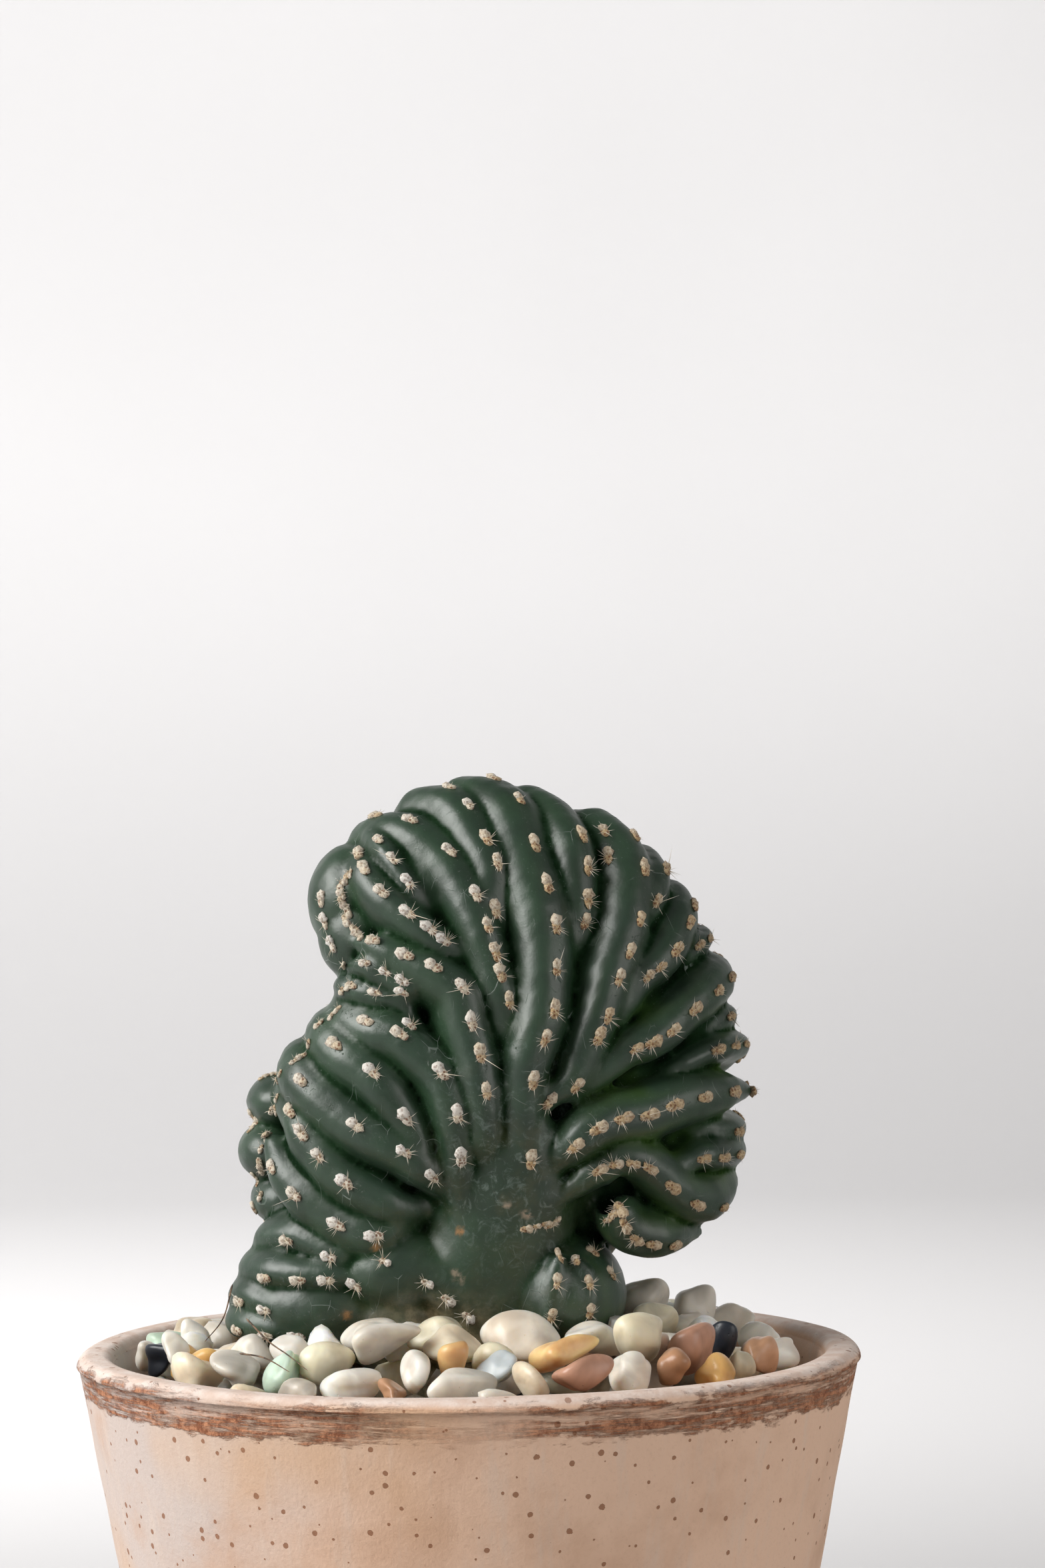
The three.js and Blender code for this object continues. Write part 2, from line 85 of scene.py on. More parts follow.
# Ridge lines of the front ribs, base to tip, in millimetres from the foot: right, back, up.
# Each row: lean of the ridge to the right in degrees, half width, bare points at the base, bare
# points at the tip, then the points; every point that isn't bare carries an areole.
FRONT_RIBS = [
    # left side, from the bottom up
    (12, 5.8, 1, 0, [(-5, -20, 22.5), (-16.5, -22.5, 22), (-23, -20.5, 24), (-30.5, -17, 29),
        (-34.5, -13, 33.5), (-36, -8, 39)]),
    (14, 6.0, 2, 1, [(-1, -20, 27), (-12, -25, 27), (-21.5, -22.5, 31.5), (-26, -20.5, 36),
        (-29, -18.5, 40), (-31, -15.5, 43.5), (-34, -6, 47.5)]),
    (16, 6.3, 1, 1, [(1, -21.5, 25), (-5.5, -26.5, 32), (-11, -26, 37), (-19.5, -24, 41.5),
        (-29, -18, 49), (-33, -9, 52.5)]),
    (18, 6.0, 2, 1, [(-2, -26, 30), (-6, -27, 34), (-10.5, -26.5, 43), (-16.5, -25, 51),
        (-23, -21, 55.5), (-27.5, -11, 59)]),
    (18, 5.4, 1, 1, [(0, -26, 22), (-0.5, -27.5, 35.5), (-1.5, -28, 43.5), (-4.5, -27, 51),
        (-11.5, -25.5, 57.5), (-17.5, -22.5, 59.5), (-24, -13, 62)]),
    (14, 3.4, 1, 1, [(-4.5, -26, 56), (-9, -25.5, 60.5), (-11.5, -24.5, 64), (-16, -22.5, 64.5),
        (-20, -19.5, 65.5), (-23, -14, 66)]),
    (10, 3.2, 1, 0, [(-6.5, -25, 63), (-11, -24, 66.5), (-14, -23, 68), (-17.5, -21.5, 69.5),
        (-21.5, -17, 69)]),
    (18, 5.0, 2, 1, [(5, -24, 28), (4, -27, 40), (3.5, -28, 47.5), (2.5, -27.5, 54), (1, -27, 59.5),
        (-0.5, -26.5, 65.5), (-5.5, -25.5, 69), (-10.5, -24, 71), (-16, -21.5, 73.5), (-20, -17, 73)]),
    # the knob and the folds over it
    (14, 5.0, 2, 1, [(5, -23, 66), (2.5, -25, 71), (-3, -25.5, 74), (-6, -25, 76),
        (-10, -23.5, 78.5), (-14.5, -21, 82), (-17.5, -17, 86), (-18.5, -13, 88.5), (-18, -6, 90.5)]),
    (-10, 4.6, 1, 1, [(-19, -13, 69.5), (-24, -15, 72.5), (-25.5, -14, 76.5), (-24.5, -12.5, 80.5),
        (-21, -8, 87)]),
    (14, 3.6, 2, 1, [(-2, -22.5, 74), (-5.5, -23, 79), (-9.5, -21.8, 84), (-12.5, -19, 88),
        (-15, -15, 91), (-17.5, -6, 93)]),
    # over the top
    (22, 5.8, 2, 1, [(9, -25, 48), (9, -27, 56), (8.5, -27, 63), (6.5, -26, 68), (5.5, -25, 71.5),
        (4, -24, 76), (2, -22, 81.5), (-2.5, -18, 89), (-9.5, -13, 94.5), (-15.5, -7, 95),
        (-18, -1, 93)]),
    (20, 6.1, 2, 1, [(9, -23, 62), (7.5, -23.5, 71), (6, -22.5, 79), (6, -19.5, 87), (4, -17, 91),
        (1, -13, 97), (-2.5, -8, 100), (-8, -1, 99.5)]),
    (20, 6.6, 1, 1, [(9, -25, 24), (11.5, -27.5, 35), (12, -28, 49), (14, -27.5, 56.5),
        (15.5, -26.5, 61.5), (16, -25, 68.5), (16, -23, 76), (14.5, -20.5, 83), (12.5, -17, 90),
        (10, -12, 98), (5.5, -6, 101.5), (0, 0, 101)]),
    (20, 6.2, 1, 2, [(20, -23, 66), (22.5, -21, 76), (22.5, -19.5, 80.5), (22, -17, 86),
        (21, -14, 91.5), (18, -7, 97), (13, -1, 99.5)]),
    (14, 5.0, 1, 1, [(25.5, -17, 78), (25.5, -12, 87.5), (25, -8, 91.5), (22, -1, 95)]),
    # right side, from the top down
    (14, 5.9, 1, 1, [(11, -26, 36), (15, -27.5, 44.5), (20, -26.5, 47.5), (23.5, -25, 56.5),
        (25, -24, 60), (27, -22.5, 66.5), (29, -20.5, 71), (31, -18, 76.5), (32, -12.5, 85.5),
        (30.5, -7, 91), (26, 0, 94.5)]),
    (8, 4.8, 2, 1, [(28, -21, 66), (31, -18.5, 72.5), (34.5, -14, 79.5), (36, -8, 85), (34, 0, 88)]),
    (8, 5.6, 2, 1, [(24, -24, 52), (27, -24, 58), (32.5, -20, 66.5), (34.5, -18.5, 68),
        (37.5, -16, 71), (40, -11.5, 75.5), (41, -7, 78.5), (40, -1, 80.5)]),
    (0, 3.6, 1, 1, [(36, -16, 64), (42.5, -10, 71.5), (44, -6, 72.5), (44, 0, 73.5)]),
    (4, 5.6, 2, 1, [(18, -26, 44), (23, -26, 48), (30, -23.5, 54), (33, -22, 55), (36.5, -20, 57),
        (40.5, -16.5, 60.5), (45, -11.5, 63.5), (47.5, -6, 65.5), (48, 0, 66)]),
    (0, 3.6, 2, 1, [(36, -17, 53), (41, -14, 55.5), (47.5, -6, 58.5), (48.5, 0, 58.5)]),
    (0, 3.8, 2, 1, [(34, -20, 48), (40, -18, 51), (45, -13, 53), (48, -9, 53.5), (50, -5, 53.5),
        (51, 0, 53)]),
    (-4, 5.6, 1, 0, [(13, -26, 31), (19, -26.5, 37.5), (23, -26, 40.5), (27.5, -24.5, 42),
        (32, -23, 42.5), (36.5, -21, 44), (42, -17, 45), (47.5, -11.5, 45.5), (51.5, -3, 45)]),
    (-4, 3.8, 2, 1, [(36, -18, 39), (41, -16, 39), (48.5, -7, 38), (50, 0, 38)]),
    (-6, 4.0, 2, 1, [(30, -21, 33), (37, -19.5, 33), (42, -16.5, 34), (45.5, -13, 34),
        (48.5, -8, 34), (50, -1, 33.5)]),
    (-10, 5.4, 2, 1, [(14, -25, 26), (19, -26, 30), (23, -25.5, 33), (26, -25, 34), (29, -24, 34),
        (32, -22.5, 33), (36, -20, 29.5), (40.5, -16.5, 26), (45.5, -11, 25), (48, -2, 27)]),
    (-10, 5.0, 1, 1, [(24, -22, 29), (26.5, -23.5, 26.5), (27.5, -22.5, 23), (29.5, -21, 20.5),
        (32.5, -19.5, 19.5), (36.5, -16.5, 19), (42, -7, 20)]),
    # foot of the trunk, right
    (0, 3.4, 1, 0, [(12, -22, 1), (14.5, -24.4, 8), (15.5, -24.4, 14), (16, -23.4, 19)]),
    (0, 3.4, 1, 0, [(19, -21.5, 3), (21.2, -23, 8.5), (21, -22.6, 13.5), (18.5, -22, 17.5)]),
    (0, 3.2, 2, 0, [(23, -15, 3), (25, -16, 9), (24, -17, 14), (21.5, -17, 18)]),
    # side lobe at the left of the trunk, wrapped round to its back
    (0, 4.2, 2, 4, [(-12, -18, 15), (-20, -20, 17), (-24.5, -19, 18), (-32, -15, 20.5),
        (-37.5, -8, 19), (-37, 0, 18), (-31, 8, 17), (-18, 14, 15)]),
    (0, 4.2, 1, 4, [(-13, -19, 10), (-20.5, -20.5, 13), (-25, -20, 14), (-30, -18.5, 14),
        (-36, -15, 14), (-40.5, -7, 13.5), (-39, 2, 13), (-30, 10, 12), (-18, 14, 11)]),
    (0, 4.2, 2, 4, [(-16, -19, 6), (-24, -20, 8), (-36, -15.5, 8.5), (-40.5, -11, 9.5),
        (-42.5, -5, 8.5), (-40, 3, 8), (-30, 10, 7), (-18, 14, 6)]),
    (0, 4.2, 2, 4, [(-18, -18, 2), (-26, -19, 3), (-30.5, -18, 4), (-36, -16, 4), (-41, -12, 4.5),
        (-43, -5, 4), (-39, 4, 3), (-30, 10, 2), (-18, 14, 1)]),
]
# Low folds of the trunk that hardly stand out
TRUNK_FOLDS = [
    (0, 4.0, 0, 0, [(-14, -21, 17), (-7, -22.5, 13.5), (-3.5, -22.5, 10.5), (0, -22.5, 7.5)]),
]
# Crowded young areoles along the growth line, in the same terms
GROWTH_LINES = [
    [(-20, -19, 66), (-23, -17, 62), (-26, -16, 58), (-30.5, -14, 52.5), (-34, -10, 46.5),
        (-35, -8, 42), (-37, -6, 36), (-37, -4, 28)],
    [(-20.5, -15, 85), (-22, -16, 82.5), (-21.5, -17, 79.5), (-20, -18, 76), (-19, -18.5, 74)],
    [(11, -25, 22.5), (16, -25, 23), (21, -24.5, 24), (26, -23.5, 26)],
]
# Outline of the crest from left to right: right, up, from the foot
CREST_OUTLINE = [
    (-33, 22), (-36, 34), (-34, 47), (-26, 58), (-23, 66), (-26, 78), (-20, 89), (-10, 97),
    (4, 101), (18, 96), (33, 86), (42, 75), (47, 63), (50, 52), (50, 42), (47, 28), (38, 20),
]
BACK_FOCUS = np.array([4.0, 16.0, 14.0])
BACK_BULGE = 26.0
BULGE_SHARE = 0.43
# The trunk's front from the ground to the fan of ribs, with its half width and depth
TRUNK_LINE = [(2, -21, -10), (2, -22, 3), (3, -22.8, 12), (6, -23.6, 21), (9, -24.8, 31), (11, -25.5, 44)]
TRUNK_HALF_WIDTH = 14.5
TRUNK_MIDDLE = np.array([3.5, -24.0, 21.0])
TRUNK_REACH = np.array([17.0, 14.0, 20.0])
TRUNK_DEPTH = 15.0
# Where the ribs fan out of the trunk, and how far that reaches
FAN_MIDDLE = np.array([8, -26, 30])
FAN_REACH = np.array([18, 14, 27])
# Marks on the plant's front: right, up, from the foot
SORES = [(-1.4, 22.6), (-21.3, 8.0), (-16.0, 20.0)]
SCRAPE = [(-2.4, 15.4), (-1.9, 14.7), (-1.2, 14.1)]
PALE_MARKS = [(6.8, 27.2), (9.8, 25.6), (10.6, 25.2)]
# Rounded bodies that fill the plant behind its ribs: middle, half sizes
CORES = [
    ((10, 0, 50), (27, 20, 42)),
    ((-12, 0, 38), (20, 20, 20)),
    ((27, 0, 42), (18, 17, 22)),
    ((20, -3, 72), (15, 13.5, 19)),
    ((-5, -5, 80), (14, 14.5, 15)),
    ((30, -2, 58), (11, 16, 11)),
    ((-12, -2, 64), (9, 16, 12)),
    ((-9, 1, 58), (12, 19, 14)),
    ((-17, -6, 80), (7, 8, 9)),
    ((3, 0, 25), (19, 21, 18)),
    ((3, -1, 9), (20, 20, 16)),
    ((-26, -7, 9), (15, 11, 8)),
    ((15, -9, 9), (9, 14, 11)),
    ((-12, -9, 15), (13, 14, 10)),
    ((16, -10.5, 10), (12, 13.5, 11.5)),
    ((-12, -9, 7), (13, 12, 11)),
    ((-24, -8, 8), (15, 12, 10)),
    ((-18, -8, 74), (8, 9, 9)),
    ((-20, -6, 80), (7.8, 9.5, 10)),
    # lobes of the back that stand out past the left edge
    ((-33, 3, 44), (6.5, 9, 5)),
    ((-35, 3, 35), (6.2, 9, 5.4)),
    ((-32.5, 3, 26.5), (6.5, 9, 5)),
]

STONE_TINTS = {
    "stone_white": (0.88, 0.84, 0.77),
    "stone_cream": (0.84, 0.73, 0.56),
    "stone_grey": (0.74, 0.71, 0.64),
    "stone_straw": (0.78, 0.73, 0.56),
    "stone_mint": (0.52, 0.66, 0.54),
    "stone_sky": (0.68, 0.74, 0.76),
    "stone_orange": (1.0, 0.60, 0.28),
    "stone_honey": (0.68, 0.42, 0.15),
    "stone_pink": (0.50, 0.27, 0.18),
    "stone_tan": (0.50, 0.28, 0.16),
    "stone_black": (0.012, 0.018, 0.030),
}
# Small pebbles of the bed: how many drop, how many places each tries, the wall that they stay
# within, and the finishes that they take in turn
BED_DROPS = 560
BED_TRIES = 26
BED_WALL = BED_RADIUS + 0.4
BED_SLOTS = ["stone_white", "stone_cream", "stone_grey", "stone_straw", "stone_white",
             "stone_grey", "stone_cream", "stone_white", "stone_tan", "stone_grey"]
# Dry fibres among the pebbles: points from the rim's middle
FIBRES = [
    [(-38, -38, 10), (-34, -42, 6.5), (-30.5, -46, 4.6), (-27, -51, 2.6)],
    [(-39, -42, 4.5), (-34.5, -46, 4.2), (-30, -51, 2.4)],
    [(-41, -22, 14), (-42.5, -26, 8.5), (-45.5, -31, 5)],
]


# ---- mesh helpers

def new_mesh(name, points, faces):
    """A mesh in metres from points in millimetres and faces that all have as many corners."""
    mesh = bpy.data.meshes.new(name)
    corners = faces.shape[1]
    mesh.vertices.add(len(points))
    mesh.vertices.foreach_set("co", (np.asarray(points) * MM).astype(np.float32).ravel())
    mesh.loops.add(faces.size)
    mesh.loops.foreach_set("vertex_index", faces.astype(np.int32).ravel())
    mesh.polygons.add(len(faces))
    starts = np.arange(0, faces.size, corners, dtype=np.int32)
    mesh.polygons.foreach_set("loop_start", starts)
    mesh.update(calc_edges=True)
    mesh.shade_smooth()
    return mesh


def new_object(name, mesh, material=None):
    """An object at the origin that shows the mesh."""
    piece = bpy.data.objects.new(name, mesh)
    bpy.context.scene.collection.objects.link(piece)
    if material:
        mesh.materials.append(material)
    return piece


def new_piece(name, mesh, material, slot, *nodes):
    """A piece that rides on the one body and stands for the frame nodes given; the slot is not used."""
    piece = new_object(name, mesh, material)
    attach(piece, "root")
    if nodes:
        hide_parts(*nodes)
    return piece


def joined(parts):
    """Points and faces of many meshes in one, each mesh's faces counted on from the last's."""
    starts = np.cumsum([0] + [len(points) for points, _ in parts[:-1]])
    points = np.vstack([points for points, _ in parts])
    faces = np.vstack([faces + start for (_, faces), start in zip(parts, starts)])
    return points, faces


def point_values(mesh, name, values):
    """Stores one number for each point of a mesh under a name."""
    layer = mesh.attributes.new(name, "FLOAT", "POINT")
    layer.data.foreach_set("value", np.asarray(values, dtype=np.float32))


def mesh_points(mesh):
    """All points of a mesh in millimetres."""
    flat = np.empty(len(mesh.vertices) * 3, dtype=np.float32)
    mesh.vertices.foreach_get("co", flat)
    return flat.reshape(-1, 3).astype(float) / MM


def move_points(mesh, points):
    """Puts the points of a mesh at new places, in millimetres."""
    mesh.vertices.foreach_set("co", (points * MM).astype(np.float32).ravel())
    mesh.update()


def mesh_normals(mesh):
    """The normal at each point of a mesh."""
    flat = np.empty(len(mesh.vertices) * 3, dtype=np.float32)
    mesh.vertex_normals.foreach_get("vector", flat)
    return flat.reshape(-1, 3).astype(float)


def unit(vectors):
    """The same directions with length one."""
    return vectors / np.maximum(np.linalg.norm(vectors, axis=-1, keepdims=True), 1e-9)


def tube_faces(rings, sides):
    """Triangles of a closed tube whose points are a first pole, rings of points and a last pole."""
    ring, side = np.meshgrid(np.arange(rings - 1), np.arange(sides), indexing="ij")
    following = (side + 1) % sides
    a = 1 + ring * sides + side
    b = 1 + ring * sides + following
    walls = np.stack([a, b, b + sides, a, b + sides, a + sides], axis=-1).reshape(-1, 3)
    k = np.arange(sides)
    n = (k + 1) % sides
    last = 1 + rings * sides
    first_cap = np.stack([np.zeros_like(k), 1 + n, 1 + k], axis=-1)
    last_cap = np.stack([np.full_like(k, last), last - sides + k, last - sides + n], axis=-1)
    return np.vstack([first_cap, walls, last_cap])


def smooth_path(points, count):
    """Evenly spread points along a Catmull-Rom curve: cubics whose slope at each given point is
    half the step between its two neighbours."""
    knots = np.asarray(points, dtype=float)
    padded = np.vstack([2 * knots[0] - knots[1], knots, 2 * knots[-1] - knots[-2]])
    along = np.linspace(0, len(knots) - 1, 24 * len(knots))
    index = np.minimum(along.astype(int), len(knots) - 2)
    f = (along - index)[:, None]
    a, b, c, d = (padded[index + k] for k in range(4))
    bend = (2 * a - 5 * b + 4 * c - d) * f**2 + (3 * b - a - 3 * c + d) * f**3
    dense = 0.5 * (2 * b + (c - a) * f + bend)
    steps = np.linalg.norm(np.diff(dense, axis=0), axis=1)
    lengths = np.concatenate([[0], np.cumsum(steps)])
    even = np.linspace(0, lengths[-1], count)
    return np.stack([np.interp(even, lengths, dense[:, k]) for k in range(3)], axis=1)


def turned(radii, heights, sides):
    """Rings of points round the upright axis, from a column of radii and a column of heights, or
    from grids that give each point its own."""
    around = np.arange(sides) * 2 * math.pi / sides
    return np.stack(np.broadcast_arrays(
        radii * np.cos(around), radii * np.sin(around), heights), axis=-1).reshape(-1, 3)


def ring_quads(rings, sides, loop):
    """Quads between neighbouring rings, and from the last ring to the first if they form a loop."""
    ring, side = np.meshgrid(np.arange(rings if loop else rings - 1), np.arange(sides), indexing="ij")
    a, b = ring * sides, (ring + 1) % rings * sides
    following = (side + 1) % sides
    return np.stack([a + side, a + following, b + following, b + side], axis=-1).reshape(-1, 4)


def headed(line):
    """The points of a line, each with the line's direction there."""
    knots = np.array(line, dtype=float)
    return list(zip(knots, unit(np.gradient(knots, axis=0))))


def ball_mesh(levels):
    """Unit ball of even triangles: an icosahedron whose triangles are split in four at each level."""
    golden = (1 + math.sqrt(5)) / 2
    corners = [(-1, golden, 0), (1, golden, 0), (-1, -golden, 0), (1, -golden, 0),
               (0, -1, golden), (0, 1, golden), (0, -1, -golden), (0, 1, -golden),
               (golden, 0, -1), (golden, 0, 1), (-golden, 0, -1), (-golden, 0, 1)]
    points = unit(np.array(corners, dtype=float))
    faces = np.array([
        (0, 11, 5), (0, 5, 1), (0, 1, 7), (0, 7, 10), (0, 10, 11), (1, 5, 9), (5, 11, 4),
        (11, 10, 2), (10, 7, 6), (7, 1, 8), (3, 9, 4), (3, 4, 2), (3, 2, 6), (3, 6, 8),
        (3, 8, 9), (4, 9, 5), (2, 4, 11), (6, 2, 10), (8, 6, 7), (9, 8, 1)])
    for _ in range(levels):
        edges = np.sort(np.stack([faces, np.roll(faces, -1, axis=1)], axis=-1), axis=-1)
        pairs, place = np.unique(edges.reshape(-1, 2), axis=0, return_inverse=True)
        middle = place.reshape(-1, 3) + len(points)
        points = np.vstack([points, unit(points[pairs[:, 0]] + points[pairs[:, 1]])])
        a, b, c = faces.T
        ab, bc, ca = middle.T
        faces = np.vstack([
            np.stack([a, ab, ca], 1), np.stack([ab, b, bc], 1),
            np.stack([ca, bc, c], 1), np.stack([ab, bc, ca], 1)])
    return points, faces


# ---- material helper

class Finish:
    """A material whose shader nodes are added and linked in short calls. Noise is given by its
    scale, detail and roughness."""

    def __init__(self, name):
        self.material = bpy.data.materials.new(name)
        self.material.use_nodes = True
        self.tree = self.material.node_tree
        self.shader = self.tree.nodes["Principled BSDF"]
        self.place = self.add("ShaderNodeTexCoord").outputs["Object"]

    def add(self, kind, inputs=(), **settings):
        node = self.tree.nodes.new(kind)
        for key, value in settings.items():
            setattr(node, key, value)
        for key, value in dict(inputs).items():
            self.put(node.inputs[key], value)
        return node

    def put(self, socket, value):
        """Links the socket to another one, or sets its own number or colour."""
        if isinstance(value, bpy.types.NodeSocket):
            self.tree.links.new(value, socket)
        elif hasattr(socket.default_value, "__len__") and len(value) < len(socket.default_value):
            socket.default_value = (*value, 1.0)
        else:
            socket.default_value = value

    def set(self, **inputs):
        """Fills in the shader's own inputs."""
        for key, value in inputs.items():
            self.put(self.shader.inputs[key.replace("_", " ")], value)

    def axis(self, letter):
        return self.add("ShaderNodeSeparateXYZ", {"Vector": self.place}).outputs[letter]

    def stretched(self, scale):
        """The place on the object, its coordinates scaled if a scale is given."""
        if not scale:
            return self.place
        return self.add("ShaderNodeMapping", {"Vector": self.place, "Scale": scale}).outputs[0]

    def noise(self, scale, detail, roughness, distortion=0.0, stretch=None):
        node = self.add("ShaderNodeTexNoise", {
            "Vector": self.stretched(stretch), "Scale": scale, "Detail": detail,
            "Roughness": roughness, "Distortion": distortion})
        return node.outputs["Fac"]

    def patches(self, scale, detail, roughness, low, high, **more):
        """Noise cut to a soft-edged band."""
        return self.band(self.noise(scale, detail, roughness, **more), low, high)

    def wander(self, reach, *noise, **more):
        """Noise about 0 whose ends are the reach apart."""
        return self.times(self.maths("SUBTRACT", self.noise(*noise, **more), 0.5), reach)

    def cells(self, scale, feature="F1", stretch=None):
        node = self.add("ShaderNodeTexVoronoi", {
            "Vector": self.stretched(stretch), "Scale": scale}, feature=feature)
        return node.outputs["Distance"]

    def values(self, name):
        return self.add("ShaderNodeAttribute", attribute_name=name).outputs["Fac"]

    def maths(self, operation, *values):
        return self.add("ShaderNodeMath", enumerate(values), operation=operation).outputs[0]

    def times(self, product, *others):
        for other in others:
            product = self.maths("MULTIPLY", product, other)
        return product

    def band(self, value, low, high):
        """0 below low, 1 above high and smooth between, or the other way round if low > high."""
        first, last = (0.0, 1.0) if low < high else (1.0, 0.0)
        node = self.add("ShaderNodeMapRange", {
            "Value": value, "From Min": min(low, high), "From Max": max(low, high),
            "To Min": first, "To Max": last}, interpolation_type="SMOOTHSTEP")
        return node.outputs[0]

    def mix(self, factor, a, b, blend="MIX"):
        node = self.add("ShaderNodeMix", {0: factor}, data_type="RGBA", blend_type=blend)
        self.put(node.inputs[6], a)
        self.put(node.inputs[7], b)
        return node.outputs[2]

    def over(self, colour, tint, *masks):
        """The colour with a tint laid over it as far as the product of the masks."""
        return self.mix(self.times(*masks), colour, tint)

    def bump(self, height, distance, **below):
        return self.add("ShaderNodeBump", {"Height": height, "Distance": distance, **below}).outputs[0]


# ---- pot

def speckle(f, scale, share, least, most):
    """Ragged specks at the middles of scattered cells: each cell whose own random value is under
    the share holds one, the larger the lower that value is."""
    cell = f.add("ShaderNodeTexVoronoi", {"Vector": f.place, "Scale": scale})
    value = f.add("ShaderNodeSeparateColor", {"Color": cell.outputs["Color"]}).outputs["Red"]
    size = f.add("ShaderNodeMapRange", {
        "Value": value, "From Min": 0.0, "From Max": share, "To Min": most, "To Max": least})
    edge = f.maths("ADD", cell.outputs["Distance"], f.wander(0.16, 900, 3, 0.6))
    return f.times(f.maths("LESS_THAN", value, share), f.maths("LESS_THAN", edge, size.outputs[0]))


def worn_band(f, right, height):
    """How far the wash is worn off outside, just under the lip: a band frayed by noise, broken into
    strokes drawn out sideways, and fainter near the middle of the front."""
    top_edge = (POT_HEIGHT - 1.0) * MM
    foot_edge = (POT_HEIGHT - 7.4) * MM
    edge = f.maths("ADD", height, f.wander(0.009, 120, 6, 0.7, stretch=(1, 1, 3.2)))
    above_foot = f.band(edge, foot_edge - 0.0004, foot_edge + 0.0006)
    below_top = f.band(edge, top_edge + 0.0004, top_edge - 0.0006)
    outside = f.band(f.values("outside"), 0.4, 0.6)
    brushed = f.patches(420, 6, 0.75, 0.36, 0.54, stretch=(0.25, 0.25, 3.0))
    strokes = f.patches(90, 5, 0.65, 0.36, 0.52, stretch=(0.5, 0.5, 5.0))
    from_middle = f.maths("ADD", right, f.maths("ADD", f.wander(0.05, 90, 4, 0.7), 0.003))
    faint = f.band(f.maths("ABSOLUTE", from_middle), 0.002, 0.020)
    return f.times(above_foot, below_top, outside, brushed, f.maths("MAXIMUM", strokes, 0.25),
                   f.maths("MULTIPLY_ADD", faint, 0.7, 0.3))


def pot_finish():
    """Whitewashed terracotta: pale wash over warm clay that thins towards the right, vertical
    streaks, iron specks, a worn, brushed rust band just under the lip, and a chalky lip."""
    f = Finish("whitewashed_clay")
    right, height = f.axis("X"), f.axis("Z")
    washed = f.band(f.maths("ADD", right, f.wander(0.07, 22, 3, 0.5)), 0.0, -0.055)
    colour = f.mix(washed, (0.86, 0.59, 0.43), (0.64, 0.54, 0.49))
    colour = f.over(colour, (0.62, 0.38, 0.25), f.patches(42, 5, 0.6, 0.45, 0.72), 0.6)
    colour = f.over(colour, (0.74, 0.44, 0.23), f.patches(17, 3, 0.5, 0.54, 0.72), 0.55)
    streak = f.noise(260, 5, 0.6, stretch=(1, 1, 0.06))
    colour = f.over(colour, (0.76, 0.62, 0.52), f.band(streak, 0.5, 0.75), 0.4)
    colour = f.over(colour, (0.50, 0.28, 0.17), f.patches(1500, 3, 0.7, 0.5, 0.8), 0.2)
    specks = f.maths("MAXIMUM", speckle(f, 420, 0.65, 0.04, 0.24), speckle(f, 190, 0.20, 0.06, 0.17))
    colour = f.over(colour, (0.30, 0.13, 0.065), specks, 0.85)
    worn = worn_band(f, right, height)
    rust = f.mix(f.patches(650, 5, 0.75, 0.38, 0.62), (0.26, 0.090, 0.042), (0.62, 0.28, 0.15))
    colour = f.over(colour, rust, worn, 0.97)
    lip = f.band(height, (POT_HEIGHT - 1.7) * MM, (POT_HEIGHT - 0.5) * MM)
    chalk = f.mix(f.patches(240, 4, 0.65, 0.35, 0.65), (0.76, 0.59, 0.50), (0.88, 0.76, 0.69))
    colour = f.over(colour, chalk, lip, 0.9)
    colour = f.over(colour, (0.34, 0.16, 0.09), specks, lip, 0.7)
    pits = f.bump(f.times(specks, -1.0), 0.0002)
    rough = f.bump(f.times(worn, f.noise(900, 5, 0.7)), 0.0005, Normal=pits)
    sand = f.bump(f.noise(1100, 4, 0.65), 0.00012, Normal=rough)
    f.set(Base_Color=colour, Roughness=0.9, Specular_IOR_Level=0.2,
          Normal=f.bump(streak, 0.00012, Normal=sand))
    return f.material


def pot_profile():
    """Outline of the wall in turn order, as (radius, height): underside, outside, rounded lip,
    inside, floor and drain hole."""
    quarter = np.radians(np.linspace(0, 90, 9))
    bevel = 1.5
    lip = POT_HEIGHT - LIP_ROUND
    slope = (RIM_RADIUS - BASE_RADIUS) / POT_HEIGHT
    outer_heights = np.linspace(bevel, lip, 60)
    inner_heights = np.linspace(lip, FLOOR + bevel, 40)
    under = np.linspace(DRAIN_RADIUS, BASE_RADIUS - bevel, 10)
    floor = np.linspace(BASE_RADIUS + slope * FLOOR - WALL - bevel, DRAIN_RADIUS, 10)
    rows = [
        np.stack([under, np.zeros(10)], 1),
        np.stack([BASE_RADIUS + slope * outer_heights, outer_heights], 1),
        np.stack([RIM_RADIUS - LIP_ROUND + LIP_ROUND * np.cos(quarter),
                  lip + LIP_ROUND * np.sin(quarter)], 1),
        np.stack([RIM_RADIUS - WALL + LIP_ROUND - LIP_ROUND * np.sin(quarter),
                  lip + LIP_ROUND * np.cos(quarter)], 1),
        np.stack([BASE_RADIUS + slope * inner_heights - WALL, inner_heights], 1),
        np.stack([floor, np.full(10, FLOOR)], 1),
    ]
    outline = np.vstack(rows)
    step = np.linalg.norm(np.diff(outline, axis=0), axis=1)
    return outline[np.concatenate([[True], step > 0.05])]


